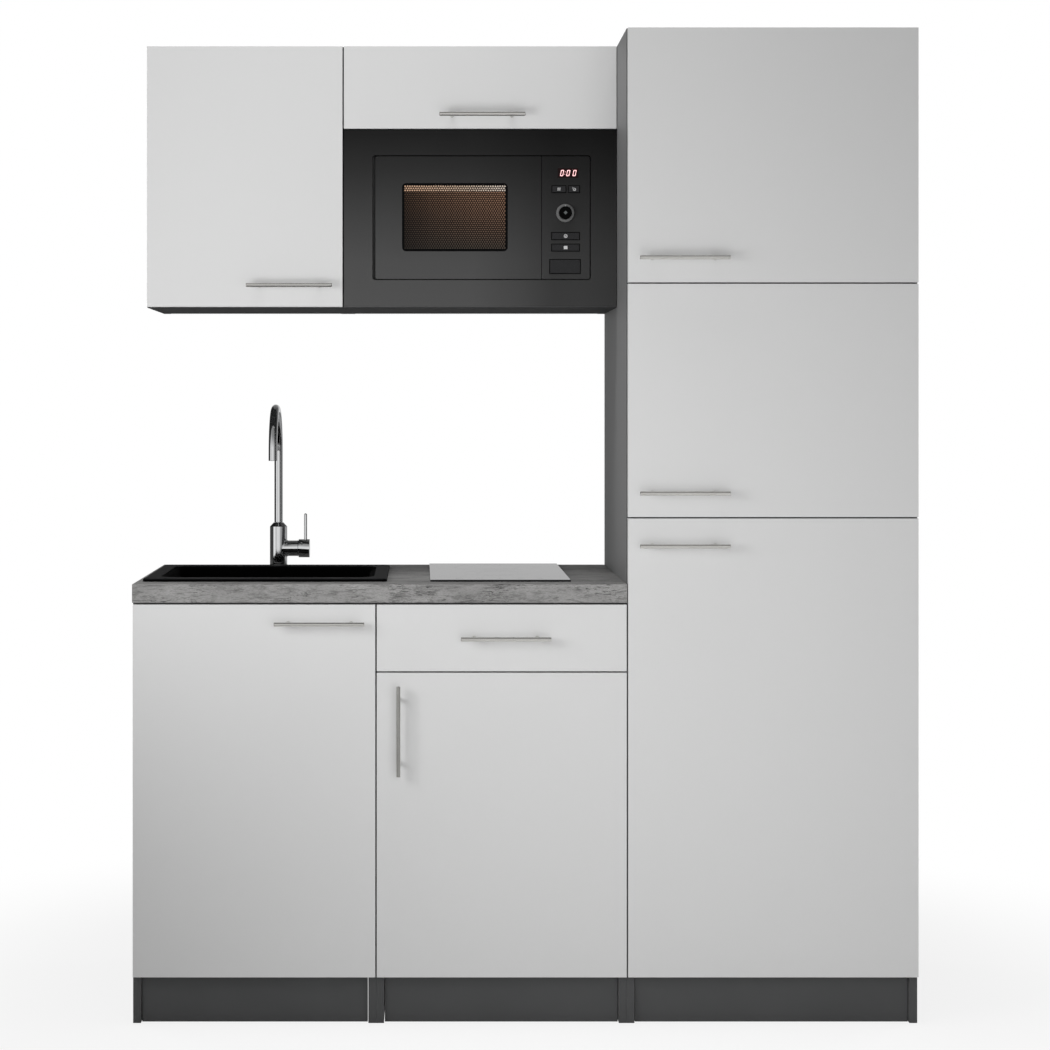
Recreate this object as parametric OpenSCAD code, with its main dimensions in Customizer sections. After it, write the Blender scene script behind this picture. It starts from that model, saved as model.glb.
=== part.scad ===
// Kitchenette in one line: a sink base, a drawer base, a tall cupboard and two wall cabinets.
// The unit faces -Y, X = 0 is the middle of its width and Z = 0 is the floor.

/* [Layout] */
// Width of the base cabinet under the sink
sink_base_w = 496; // [420:1:620]
// Width of the base cabinet with the drawer, under the hob
drawer_base_w = 511; // [420:1:640]
// Width of the tall cupboard
tall_w = 593; // [400:1:700]
// Width of the left wall cabinet; the microwave cabinet takes the rest
wall_left_w = 421; // [300:1:430]
// Height of the whole unit
unit_h = 2030; // [1990:1:2200]
// Depth of base and tall cabinets, wall to front faces
unit_d = 600; // [585:1:640]
// Depth of the wall cabinets, wall to front faces
wall_d = 350; // [340:1:400]
// Height of the wall cabinets
wall_cabinet_h = 560; // [500:1:620]

/* [Boards] */
// Thickness of carcass boards and shelves
board_t = 16; // [15:0.5:19]
// Thickness of doors and drawer fronts
front_t = 18; // [16:0.5:22]
// Air between a closed front and the carcass edge
front_air = 2; // [1.8:0.1:4]
// Gap between neighbouring fronts
front_gap = 3; // [2:0.5:5]
// Thickness of the back panels
back_t = 3; // [3:0.5:8]
// Air between back panels and the wall
back_inset = 12; // [11:0.5:25]
// Distance of loose shelves behind the carcass edge
shelf_setback = 25; // [10:1:60]
// Width of the flat rails that tie the base cabinets at the top
rail_w = 80; // [50:1:90]

/* [Heights] */
// Height of the underside of the bottom boards
plinth_h = 96; // [80:1:150]
// Height of the worktop's upper face
worktop_z = 897; // [860:1:940]
// Thickness of the worktop
worktop_t = 38; // [30:1:50]
// Gap between the worktop and the fronts under it
worktop_gap = 3.5; // [2:0.5:8]
// Height of the drawer front
drawer_front_h = 135.5; // [120:0.5:180]
// Height of the lower seam between the tall doors above the worktop
tall_seam_rise = 135; // [100:1:200]
// Height of the tall cupboard's upper part, from the upper seam to the top
tall_upper_h = 521; // [430:1:580]
// Height of the part behind the flap, from the flap's lower seam to the top
flap_part_h = 179; // [165:1:185]
// Height of the base fronts' lower edges above the underside of the bottom boards
front_rise = 2; // [0:0.5:6]

/* [Plinth] */
// Thickness of the plinth boards
plinth_t = 16; // [12:0.5:19]
// Distance of the plinth boards behind the side boards' edges
plinth_setback = 10; // [4:1:60]
// Gap at each end of a plinth board
plinth_gap = 1.5; // [0.5:0.5:4]
// Gap between plinth boards and the floor
plinth_floor_gap = 0.5; // [0.5:0.5:8]

/* [Handles] */
// Length of a handle bar
handle_l = 183; // [150:1:260]
// Diameter of the bar
handle_bar_d = 9; // [8:0.5:14]
// Diameter of the two posts
handle_post_d = 7.5; // [5:0.5:8]
// Distance between the posts
handle_pitch = 128; // [96:1:140]
// How far the bar's outer side stands off the front
handle_proj = 34; // [30:1:45]
// Distance from a front's free edge to the nearer post
handle_edge = 49; // [40:1:70]
// Sink door: height of the bar below the door's upper edge
sink_handle_drop = 38; // [25:1:80]
// Drawer: how far the handle stands right of the middle
drawer_handle_shift = 8; // [-20:1:20]
// Base door: height of the upper post below the door's upper edge
base_handle_drop = 52; // [40:1:80]
// Base door: distance of the bar from the free edge
base_handle_edge = 44; // [30:1:80]
// Lower tall door: height of the bar below the door's upper edge
tall_lower_drop = 55; // [25:1:90]
// Middle and upper tall doors: height of the bar above the door's lower edge
tall_handle_rise = 49; // [25:1:90]
// Wall door: height of the bar above the door's lower edge
wall_handle_rise = 45; // [25:1:90]
// Flap: height of the bar above its lower edge
flap_handle_rise = 28; // [20:1:60]
// Flap: how far the handle stands right of the middle
flap_handle_shift = 4; // [-20:1:20]

/* [Hinges] */
// Distance of the turning axis from the door's hinge-side edge
axis_in = 6; // [5.5:0.1:7]
// Depth of the turning axis behind the door's face
axis_back = 5; // [4:0.1:6]
// Diameter of a hinge cup
cup_d = 35; // [34:0.5:35]
// Depth of a hinge cup in the door
cup_depth = 11.5; // [11:0.5:13]
// Wall of a hinge cup
cup_wall = 1; // [0.8:0.1:1.2]
// Distance from the door's edge to the cup
cup_edge = 5; // [4.5:0.5:6]
// Distance from a door's end to its hinge
hinge_inset = 90; // [70:1:120]
// Length of a hinge arm from tip to tail
hinge_arm_l = 70; // [60:1:80]
// How far a hinge arm reaches into its cup
hinge_tip_in = 3.2; // [2:0.2:3.4]
// Height of a hinge arm
hinge_arm_h = 13; // [10:0.5:16]
// Width of a hinge arm
hinge_arm_w = 15; // [10:0.5:16]
// Side of a hinge's mounting plate
hinge_plate = 46; // [36:1:50]
// Thickness of a hinge's mounting plate
hinge_plate_t = 2.5; // [2:0.5:4]

/* [Drawer] */
// Length of the drawer box, front to back
drawer_l = 480; // [350:1:520]
// Height of the drawer's sides
drawer_side_h = 88; // [60:1:90]
// Thickness of the drawer's sides
drawer_side_t = 12; // [10:0.5:16]
// Thickness of the drawer's bottom
drawer_bottom_t = 6; // [3:0.5:10]
// Height of the drawer box above the drawer front's lower edge
drawer_lift = 18; // [12:1:30]
// Space for a runner at each side of the drawer
runner_space = 13; // [12:0.5:18]
// Height of a runner
runner_h = 36; // [30:1:45]
// Sheet thickness of a runner
runner_t = 1.5; // [1:0.25:2]
// Running clearance between a runner's two members
runner_air = 0.5; // [0.3:0.1:1]

/* [Sink] */
// Width of the flat rim at the sink's sides
sink_rim_w = 28; // [20:1:34]
// Outer depth of the sink
sink_d = 445; // [400:1:452]
// Height of the sink's rim above the worktop
sink_rim_h = 6; // [3:0.5:10]
// Distance of the sink behind the worktop's front edge
sink_front = 67; // [55:1:70]
// Distance from the worktop's left end to the middle of the sink
sink_mid = 265; // [262:1:300]
// Air between the bowl and the right side board of its cabinet
bowl_side_air = 3.4; // [2:0.1:10]
// Inner depth of the bowl, front to back
bowl_d = 322; // [280:1:340]
// Depth of the bowl below the rim
bowl_h = 180; // [140:1:220]
// Corner radius of the bowl
bowl_r = 28; // [15:1:60]
// Corner radius of the rim
sink_r = 12; // [6:1:30]
// Wall of the bowl
bowl_t = 1.6; // [1:0.2:2.4]
// Width of the rounded step between rim and bowl
bowl_lip = 14; // [4:1:18]
// Air around the bowl in the worktop's cut-out
sink_cut_air = 3; // [2:0.5:10]
// Diameter of the drain hole
drain_d = 90; // [80:1:100]

/* [Waste] */
// Diameter of the outlet pipe
waste_pipe_d = 40; // [32:1:50]
// Wall of the outlet pipe
waste_pipe_t = 2; // [1.5:0.5:3]
// Diameter of the bottle trap
trap_d = 64; // [50:1:80]
// Height of the bottle trap
trap_h = 110; // [90:1:160]
// Length of the pipe from strainer to trap
waste_drop = 60; // [30:1:90]
// Depth of the strainer pot
strainer_h = 38; // [25:1:50]
// Diameter of the slip nuts on the trap
waste_nut_d = 52; // [48:1:60]
// Length of the slip nuts
waste_nut_l = 15; // [10:1:20]
// How far the outlet ends in front of the wall
outlet_gap = 10; // [5:1:40]
// Diameter of the plug's stem
plug_stem_d = 8; // [5:0.5:12]
// Diameter of the plug's knob
plug_knob_d = 20; // [14:1:30]
// Height of the plug's knob
plug_knob_h = 4; // [2:0.5:6]

/* [Tap] */
// Distance of the tap's middle in front of the wall
tap_wall = 52; // [45:1:60]
// Diameter of the tap's body
tap_body_d = 39; // [36:0.5:44]
// Height of the body up to its shoulder
tap_body_h = 90; // [80:1:110]
// Height of the sloping shoulder
tap_shoulder_h = 9; // [5:0.5:15]
// Diameter of the base ring
tap_base_d = 44; // [44:0.5:52]
// Height of the base ring
tap_base_h = 4; // [2:0.5:8]
// Diameter of the spout tube
spout_d = 19; // [16:0.5:22]
// Wall of the spout tube
spout_t = 1.5; // [1:0.25:2]
// Height of the spout's top above the worktop
spout_top = 366; // [300:1:420]
// Distance from the column to the outlet
spout_reach = 205; // [160:1:230]
// Straight length at the spout's outlet
spout_end = 11; // [5:1:40]
// Length of the spout's spigot inside the body
spigot_l = 30; // [20:1:40]
// Diameter of the spigot
spigot_d = 14; // [12:0.5:15]
// Height of the cartridge above the worktop
cartridge_z = 40.5; // [30:0.5:50]
// Diameter of the arm that holds the cartridge
cartridge_d = 35; // [30:0.5:36]
// Distance from the tap's middle to the end of the arm
cartridge_l = 45.5; // [38:0.5:60]
// Diameter of the turning cap
cap_d = 41; // [38:0.5:46]
// Length of the turning cap
cap_l = 24.5; // [22:0.5:30]
// Diameter of the lever pin
lever_d = 6.8; // [5:0.2:7]
// Height of the lever's top above the worktop
lever_top = 119.5; // [100:0.5:140]
// Distance of the lever behind the cap's outer end
lever_in = 9.2; // [8.5:0.1:10]
// Depth of the lever's pivot below the cap's surface
lever_pivot = 10; // [8:0.5:12]
// Diameter of the threaded shank under the tap
shank_d = 32; // [28:1:33]
// Diameter of the hole in the worktop for the tap
tap_hole_d = 35; // [34:1:36]
// Diameter of the fixing nut
tap_nut_d = 41; // [38:1:42]
// Height of the fixing nut
tap_nut_h = 10; // [6:1:12]
// Diameter of the two supply tails
tail_d = 10; // [8:0.5:12]
// Length of the supply tails below the nut
tail_l = 150; // [100:1:200]
// Distance between the supply tails
tail_pitch = 18; // [13:1:20]

/* [Hob] */
// Width of the hob's glass
hob_w = 290; // [280:1:310]
// Depth of the hob's glass
hob_d = 510; // [490:1:515]
// Thickness of the glass
hob_glass_t = 4; // [3:0.5:6]
// Distance of the hob behind the worktop's front edge
hob_front = 69; // [60:1:72]
// How far the glass covers the worktop around the cut-out
hob_lap = 12; // [8:1:20]
// Air around the hob's body in the cut-out
hob_air = 2; // [1:0.5:4]
// Height of the hob's body under the glass
hob_body_h = 36; // [28:1:37]

/* [Microwave] */
// Thickness of the trim frame
mw_frame_t = 18; // [16:0.5:20]
// Width of the frame's left leg
mw_frame_left = 61; // [58:1:70]
// Width of the frame's right leg
mw_frame_right = 55; // [50:1:66]
// Height of the frame's upper leg
mw_frame_top = 54; // [48:1:70]
// Height of the frame's lower leg
mw_frame_bottom = 57; // [50:1:70]
// Gap between the frame and what it holds
mw_gap = 2.5; // [1.5:0.5:4]
// Gap between the frame and the microwave door on the hinge side
mw_hinge_gap = 6.5; // [2.5:0.5:8]
// Radius of the outer corners of the microwave's door and panel
mw_corner_r = 4; // [1:0.5:8]
// Width of the control panel
mw_panel_w = 102; // [96:1:110]
// Thickness of the microwave's door
mw_door_t = 20; // [16:0.5:22]
// Air behind the microwave's door
mw_door_air = 2; // [1:0.5:3]
// Depth of the microwave's case behind the door
mw_depth = 300; // [280:1:310]
// Thickness of the sheet metal
mw_sheet = 1.2; // [0.8:0.1:1.5]
// Air at each side of the case in its niche
mw_side_air = 18; // [10:1:24]
// Air above the case
mw_top_air = 17; // [10:1:24]
// How far the door laps over the cavity's mouth
mw_door_lap = 14; // [10:1:20]
// Depth of the cavity
mw_cavity_d = 285; // [270:1:290]
// Window: distance from the door's left edge
mw_window_left = 57; // [50:1:80]
// Window: width
mw_window_w = 226; // [180:1:240]
// Window: distance from the door's lower edge
mw_window_rise = 59; // [50:1:80]
// Window: height
mw_window_h = 146; // [120:1:160]
// Window: corner radius
mw_window_r = 9; // [4:1:20]
// Thickness of the window
mw_window_t = 4; // [3:0.5:6]
// Depth of the window behind the door's face
mw_window_in = 1; // [0.5:0.5:3]
// Thickness of the control panel's face
mw_panel_t = 5; // [3:0.5:6]
// Diameter of the turntable
turntable_d = 250; // [220:1:260]
// Thickness of the turntable
turntable_t = 5; // [4:0.5:8]
// Diameter of the roller ring
roller_ring_d = 170; // [140:1:190]
// Diameter of a roller
roller_d = 12; // [10:0.5:12]
// Width of the roller ring's flat bar
ring_w = 6; // [5:0.5:10]
// Thickness of the roller ring's flat bar
ring_t = 3; // [2:0.5:4]
// Diameter of a roller's axle
axle_d = 2.5; // [2:0.1:3]
// Width of a roller
roller_w = 4; // [3:0.5:6]
// Diameter of the turntable's drive shaft
coupler_d = 14; // [10:1:20]

/* [Controls] */
// How far buttons stand out of the panel
button_out = 1.5; // [1:0.1:2]
// Travel of a button
button_travel = 1.5; // [1:0.1:1.5]
// Length of a button behind the panel's face
button_in = 11; // [8:0.5:14]
// Clearance around a button
button_air = 0.4; // [0.2:0.1:0.6]
// Diameter of the timer knob
knob_d = 39; // [34:1:42]
// Diameter of the knob's grip
knob_grip_d = 28; // [20:1:32]
// Height of the knob's skirt
knob_skirt = 4; // [3:0.5:8]
// Length of the knob's shaft behind the panel's face
knob_tail = 6; // [4:0.5:10]
// Depth of the display behind the panel's face
display_in = 0.5; // [0.3:0.1:1]
// How far the knob stands out of the panel
knob_out = 15; // [10:1:20]
// Air between the knob and the panel
knob_air = 0.4; // [0.3:0.1:1]
// Diameter of the knob's shaft
knob_shaft_d = 6; // [5:0.5:8]
// Running clearance around shafts, on the radius
shaft_air = 0.05; // [0.02:0.01:0.1]

/* [Hidden] */
$fn = 64;
eps = 1; // how far a cutting shape runs past the face it cuts

front_colour = "#cbcbca";
carcass_colour = "#4b4c4e";
worktop_colour = "#84817d";
steel_colour = "#b4b5b6";
chrome_colour = "#d6d8da";
black_colour = "#1f2022";
dark_colour = "#3a3b3d";

// Places across the unit
total_w = sink_base_w + drawer_base_w + tall_w;
x_left = -total_w / 2;
x_drawer = x_left + sink_base_w;
x_tall = x_drawer + drawer_base_w;
x_right = x_tall + tall_w;
x_wall = x_left + wall_left_w;
x_sink = x_left + sink_mid;
bowl_w = 2 * (sink_base_w - board_t - bowl_side_air - bowl_t - sink_mid);
sink_w = bowl_w + 2 * (bowl_lip + sink_rim_w);
x_hob = (x_drawer + x_tall) / 2;

// Places from front to back
y_face = -(unit_d + handle_proj) / 2 + handle_proj;
y_back = y_face + unit_d;
front_stack = front_t + front_air;
y_edge = y_face + front_stack;
y_wall_face = y_back - wall_d;
y_wall_edge = y_wall_face + front_stack;
y_panel = y_back - back_inset - back_t;
y_sink = y_face + sink_front + sink_d / 2;
y_hob = y_face + hob_front + hob_d / 2;
y_tap = y_back - tap_wall;

// Heights
half_gap = front_gap / 2;
z_under = worktop_z - worktop_t;
z_front_low = plinth_h + front_rise;
z_front_top = z_under - worktop_gap;
z_drawer = z_front_top - drawer_front_h;
z_top = unit_h - half_gap;
wall_bottom_z = unit_h - wall_cabinet_h;
z_wall_low = wall_bottom_z + half_gap;
tall_seam_1 = worktop_z + tall_seam_rise;
tall_seam_2 = unit_h - tall_upper_h;
flap_seam_z = unit_h - flap_part_h;
z_floor_board = plinth_h + board_t;
z_base_inside = z_under - board_t;

// A board given by its two opposite corners
module board(low, high) {
    translate(low) cube(high - low);
}

// The two side boards of a cabinet that spans x0 to x1
module side_boards(x0, x1, y0, z0, z1) {
    for (x = [x0, x1 - board_t])
        board([x, y0, z0], [x + board_t, y_back, z1]);
}

// A flat board between a cabinet's sides
module flat_board(x0, x1, y0, y1, z) {
    board([x0 + board_t, y0, z], [x1 - board_t, y1, z + board_t]);
}

// A rectangle with round corners, centred
module round_rect(w, d, r) {
    square([w - 2 * r, d], center = true);
    square([w, d - 2 * r], center = true);
    for (x = [-1, 1], y = [-1, 1])
        translate([x * (w / 2 - r), y * (d / 2 - r)]) circle(r);
}

// Carcasses ------------------------------------------------------------

module worktop() {
    cut_w = bowl_w + 2 * (bowl_t + sink_cut_air);
    cut_d = bowl_d + 2 * (bowl_t + sink_cut_air);
    hob_cut_w = hob_w - 2 * hob_lap;
    hob_cut_d = hob_d - 2 * hob_lap;
    color(worktop_colour) difference() {
        board([x_left, y_face, z_under], [x_tall, y_back, worktop_z]);
        translate([x_sink, y_sink, z_under - eps])
            linear_extrude(height = worktop_t + 2 * eps) round_rect(cut_w, cut_d, bowl_r + sink_cut_air);
        translate([x_hob - hob_cut_w / 2, y_hob - hob_cut_d / 2, z_under - eps])
            cube([hob_cut_w, hob_cut_d, worktop_t + 2 * eps]);
        translate([x_sink, y_tap, z_under - eps]) cylinder(d = tap_hole_d, h = worktop_t + 2 * eps);
    }
}

module sink_base_sides() {
    color(carcass_colour) side_boards(x_left, x_drawer, y_edge, 0, z_under);
}

module sink_base_boards() {
    color(carcass_colour) {
        flat_board(x_left, x_drawer, y_edge, y_panel, plinth_h);
        flat_board(x_left, x_drawer, y_edge, y_edge + rail_w, z_base_inside);
        board([x_left + board_t, y_panel - board_t, z_under - rail_w],
              [x_drawer - board_t, y_panel, z_under]);
    }
}

module drawer_base_sides() {
    color(carcass_colour) side_boards(x_drawer, x_tall, y_edge, 0, z_under);
}

module drawer_base_boards() {
    color(carcass_colour) {
        flat_board(x_drawer, x_tall, y_edge, y_panel, plinth_h);
        flat_board(x_drawer, x_tall, y_edge, y_edge + rail_w, z_base_inside);
        flat_board(x_drawer, x_tall, y_panel - rail_w, y_panel, z_base_inside);
    }
}

module tall_sides() {
    color(carcass_colour) side_boards(x_tall, x_right, y_edge, 0, unit_h);
}

tall_board_z = [plinth_h, tall_seam_1 - board_t / 2, tall_seam_2 - board_t / 2, unit_h - board_t];

module tall_boards() {
    color(carcass_colour)
        for (z = tall_board_z) flat_board(x_tall, x_right, y_edge, y_panel, z);
}

module wall_cabinet_sides() {
    color(carcass_colour) side_boards(x_left, x_wall, y_wall_edge, wall_bottom_z, unit_h);
}

module wall_cabinet_boards() {
    color(carcass_colour)
        for (z = [wall_bottom_z, unit_h - board_t])
            flat_board(x_left, x_wall, y_wall_edge, y_panel, z);
}

module microwave_cabinet_sides() {
    color(carcass_colour) side_boards(x_wall, x_tall, y_wall_edge, wall_bottom_z, unit_h);
}

module microwave_cabinet_boards() {
    color(carcass_colour)
        for (z = [wall_bottom_z, flap_seam_z - board_t / 2, unit_h - board_t])
            flat_board(x_wall, x_tall, y_wall_edge, y_panel, z);
}

// Loose shelves: [left, right, carcass edge, height of the underside]
function shared(low, high, share) = low + (high - low) * share - board_t / 2;
shelf_air = 1; // at each end of a loose shelf
tall_low = z_floor_board;
tall_mid = tall_board_z[1] + board_t;
tall_high = tall_board_z[2] + board_t;
shelves = [
    [x_drawer, x_tall, y_edge, shared(z_floor_board, z_drawer, 0.5)],
    [x_tall, x_right, y_edge, shared(tall_low, tall_board_z[1], 1 / 3)],
    [x_tall, x_right, y_edge, shared(tall_low, tall_board_z[1], 2 / 3)],
    [x_tall, x_right, y_edge, shared(tall_mid, tall_board_z[2], 0.5)],
    [x_tall, x_right, y_edge, shared(tall_high, tall_board_z[3], 0.5)],
    [x_left, x_wall, y_wall_edge, shared(wall_bottom_z + board_t, unit_h - board_t, 0.5)]
];

module loose_shelves() {
    color(carcass_colour)
        for (s = shelves)
            board([s[0] + board_t + shelf_air, s[2] + shelf_setback, s[3]],
                  [s[1] - board_t - shelf_air, y_panel - shelf_air, s[3] + board_t]);
}

pin_d = 5;
pin_l = 9;
pin_end = 60; // from the shelf's ends, front and back

module shelf_pins() {
    color(steel_colour)
        for (s = shelves, right = [0, 1], y = [s[2] + shelf_setback + pin_end, y_panel - pin_end])
            translate([right ? s[1] - board_t - pin_l : s[0] + board_t, y, s[3] - pin_d / 2])
                rotate([0, 90, 0]) cylinder(d = pin_d, h = pin_l);
}

// Back panels: [left, right, lowest, highest]; the sink base is open behind for its pipes
backs = [
    [x_drawer, x_tall, plinth_h, z_under],
    [x_tall, x_right, plinth_h, unit_h],
    [x_left, x_wall, wall_bottom_z, unit_h],
    [x_wall, x_tall, wall_bottom_z, unit_h]
];

module back_panels() {
    color(carcass_colour)
        for (b = backs)
            board([b[0] + board_t, y_panel, b[2]], [b[1] - board_t, y_panel + back_t, b[3]]);
}

module plinth_boards() {
    y0 = y_edge + plinth_setback;
    color(carcass_colour)
        for (x = [[x_left, x_drawer], [x_drawer, x_tall], [x_tall, x_right]])
            board([x[0] + board_t + plinth_gap, y0, plinth_floor_gap],
                  [x[1] - board_t - plinth_gap, y0 + plinth_t, plinth_h]);
}

// Hanging rails on the wall, each with the two blocks that hook over it
rail_h = 30;
rail_t = 2.5;
rail_drop = 55; // from the cabinet's top to the rail's lower edge
rail_end = 30; // from the rail's end to its screw hole
rail_hole_d = 7;
hanger_side = 40;
hung = [[x_left, x_wall], [x_wall, x_tall], [x_tall, x_right]];

module wall_hangers() {
    z0 = unit_h - rail_drop;
    color(steel_colour)
        for (c = hung) {
            difference() {
                board([c[0] + board_t, y_back - rail_t, z0], [c[1] - board_t, y_back, z0 + rail_h]);
                for (x = [c[0] + board_t + rail_end, c[1] - board_t - rail_end])
                    translate([x, y_back - rail_t - eps, z0 + rail_h / 2])
                        rotate([-90, 0, 0]) cylinder(d = rail_hole_d, h = rail_t + 2 * eps);
            }
            for (x = [c[0] + board_t + 2 * rail_end, c[1] - board_t - 2 * rail_end - hanger_side])
                board([x, y_panel + back_t, z0 - (hanger_side - rail_h) / 2],
                      [x + hanger_side, y_back - rail_t, z0 + (hanger_side + rail_h) / 2]);
        }
}

// Fronts ---------------------------------------------------------------

// Places of the hinges along a door of length h, with n hinges
function hinge_places(h, n = 2) = [for (i = [0 : n - 1]) hinge_inset + i * (h - 2 * hinge_inset) / (n - 1)];

cup_x = cup_edge + cup_d / 2;
cup_fit = 0.1; // air around a cup in its pocket

// A door whose hinge edge is at x = 0 and whose face is at y = 0
module door_panel(w, h, n) {
    difference() {
        cube([w, front_t, h]);
        for (z = hinge_places(h, n))
            translate([cup_x, front_t - cup_depth, z])
                rotate([-90, 0, 0]) cylinder(d = cup_d + cup_fit, h = cup_depth + eps);
    }
}

module hinge_cups(h, n) {
    for (z = hinge_places(h, n))
        translate([cup_x, front_t - cup_depth, z]) rotate([-90, 0, 0])
            difference() {
                cylinder(d = cup_d, h = cup_depth);
                translate([0, 0, cup_wall]) cylinder(d = cup_d - 2 * cup_wall, h = cup_depth);
            }
}

// The parts of the hinges that stay on the cabinet, for the same door
module hinge_bases(h, n) {
    side = board_t - half_gap;
    tip = front_t - hinge_tip_in;
    plate_y = front_stack + (hinge_arm_l - hinge_plate) / 2;
    for (z = hinge_places(h, n)) {
        translate([side, plate_y, z - hinge_plate / 2]) cube([hinge_plate_t, hinge_plate, hinge_plate]);
        translate([side + hinge_plate_t, tip, z - hinge_arm_h / 2])
            cube([hinge_arm_w, hinge_arm_l, hinge_arm_h]);
    }
}

// A bar handle along X on a face at y = 0
module handle() {
    bar_y = -handle_proj + handle_bar_d / 2;
    translate([-handle_l / 2, bar_y, 0]) rotate([0, 90, 0]) cylinder(d = handle_bar_d, h = handle_l);
    for (x = [-1, 1])
        difference() {
            translate([x * handle_pitch / 2, bar_y, 0])
                rotate([-90, 0, 0]) cylinder(d = handle_post_d, h = -bar_y);
            translate([-handle_l / 2, bar_y, 0])
                rotate([0, 90, 0]) cylinder(d = handle_bar_d, h = handle_l);
        }
}

// Each door: [hinge edge x, opening direction, face y, low z, width, height, hinges]
door_sink = [x_left + half_gap, 1, y_face, z_front_low,
             sink_base_w - front_gap, z_front_top - z_front_low, 2];
door_base = [x_tall - half_gap, -1, y_face, z_front_low,
             drawer_base_w - front_gap, z_drawer - front_gap - z_front_low, 2];
tall_front_w = tall_w - front_gap;
door_tall_1 = [x_right - half_gap, -1, y_face, z_front_low,
               tall_front_w, tall_seam_1 - half_gap - z_front_low, 3];
door_tall_2 = [x_right - half_gap, -1, y_face, tall_seam_1 + half_gap,
               tall_front_w, tall_seam_2 - tall_seam_1 - front_gap, 2];
door_tall_3 = [x_right - half_gap, -1, y_face, tall_seam_2 + half_gap,
               tall_front_w, z_top - tall_seam_2 - half_gap, 2];
door_wall = [x_left + half_gap, 1, y_wall_face, z_wall_low,
             wall_left_w - front_gap, z_top - z_wall_low, 2];
hinged_doors = [door_sink, door_base, door_tall_1, door_tall_2, door_tall_3, door_wall];

// Puts what is drawn for a door with its hinge edge at x = 0 in the door's place
module at_door(d) {
    translate([d[0], d[2], d[3]]) mirror([d[1] < 0 ? 1 : 0, 0, 0]) children();
}

module front_of(d) {
    color(front_colour) at_door(d) door_panel(d[4], d[5], d[6]);
}

// Hinge cups and a lying handle whose bar is rise above the door's lower edge
module fittings_of(d, rise) {
    color(steel_colour) at_door(d) {
        hinge_cups(d[5], d[6]);
        translate([d[4] - handle_edge - handle_pitch / 2, 0, rise]) handle();
    }
}

module sink_door() { front_of(door_sink); }
module base_door() { front_of(door_base); }
module tall_lower_door() { front_of(door_tall_1); }
module tall_middle_door() { front_of(door_tall_2); }
module tall_upper_door() { front_of(door_tall_3); }
module wall_door() { front_of(door_wall); }

module sink_door_fittings() { fittings_of(door_sink, door_sink[5] - sink_handle_drop); }
module tall_lower_fittings() { fittings_of(door_tall_1, door_tall_1[5] - tall_lower_drop); }
module tall_middle_fittings() { fittings_of(door_tall_2, tall_handle_rise); }
module tall_upper_fittings() { fittings_of(door_tall_3, tall_handle_rise); }
module wall_door_fittings() { fittings_of(door_wall, wall_handle_rise); }

module base_door_fittings() {
    color(steel_colour) at_door(door_base) {
        hinge_cups(door_base[5], door_base[6]);
        translate([door_base[4] - base_handle_edge, 0, door_base[5] - base_handle_drop - handle_pitch / 2])
            rotate([0, 90, 0]) handle();
    }
}

// The flap is a door laid on its side: its hinge edge is the upper one
flap_w = x_tall - x_wall - front_gap;
flap_h = z_top - flap_seam_z - half_gap;

module at_flap() {
    translate([x_wall + half_gap, y_wall_face, z_top]) rotate([0, 90, 0]) children();
}

module flap_door() {
    color(front_colour) at_flap() door_panel(flap_h, flap_w, 2);
}

module flap_fittings() {
    color(steel_colour) {
        at_flap() hinge_cups(flap_w, 2);
        translate([(x_wall + x_tall) / 2 + flap_handle_shift, y_wall_face,
                   flap_seam_z + half_gap + flap_handle_rise]) handle();
    }
}

module hinge_arms() {
    color(steel_colour) {
        for (d = hinged_doors) at_door(d) hinge_bases(d[5], d[6]);
        at_flap() hinge_bases(flap_w, 2);
    }
}

// Drawer ---------------------------------------------------------------

drawer_x0 = x_drawer + board_t + runner_space;
drawer_x1 = x_tall - board_t - runner_space;
drawer_y0 = y_face + front_t;
drawer_y1 = drawer_y0 + drawer_l;
drawer_z0 = z_drawer + drawer_lift;
drawer_z1 = drawer_z0 + drawer_side_h;
runner_z = drawer_z0 + drawer_side_h / 3;
runner_y0 = y_edge + front_air;

module drawer_front() {
    color(front_colour)
        board([x_drawer + half_gap, y_face, z_drawer], [x_tall - half_gap, y_face + front_t, z_front_top]);
}

module drawer_handle() {
    color(steel_colour)
        translate([x_hob + drawer_handle_shift, y_face, z_drawer + drawer_front_h / 2]) handle();
}

module drawer_box() {
    inner_x0 = drawer_x0 + drawer_side_t;
    inner_x1 = drawer_x1 - drawer_side_t;
    color("#a7a8a9") {
        for (x = [drawer_x0, inner_x1])
            board([x, drawer_y0, drawer_z0], [x + drawer_side_t, drawer_y1, drawer_z1]);
        for (y = [drawer_y0, drawer_y1 - drawer_side_t])
            board([inner_x0, y, drawer_z0], [inner_x1, y + drawer_side_t, drawer_z1]);
        board([inner_x0, drawer_y0 + drawer_side_t, drawer_z0],
              [inner_x1, drawer_y1 - drawer_side_t, drawer_z0 + drawer_bottom_t]);
    }
}

// The drawer's own half of each runner, a folded profile that slides in the cabinet's channel
module drawer_slides() {
    bar_h = runner_h - 2 * (runner_t + runner_air);
    bar_w = runner_space - runner_t - runner_air;
    bar_l = drawer_y1 - runner_y0;
    color(steel_colour)
        for (right = [0, 1]) translate([right ? drawer_x1 : drawer_x0, runner_y0, runner_z])
            mirror([right, 0, 0]) difference() {
                translate([-bar_w, 0, -bar_h / 2]) cube([bar_w, bar_l, bar_h]);
                translate([-bar_w - runner_t, -eps, runner_t - bar_h / 2])
                    cube([bar_w, bar_l + 2 * eps, bar_h - 2 * runner_t]);
            }
}

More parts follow.
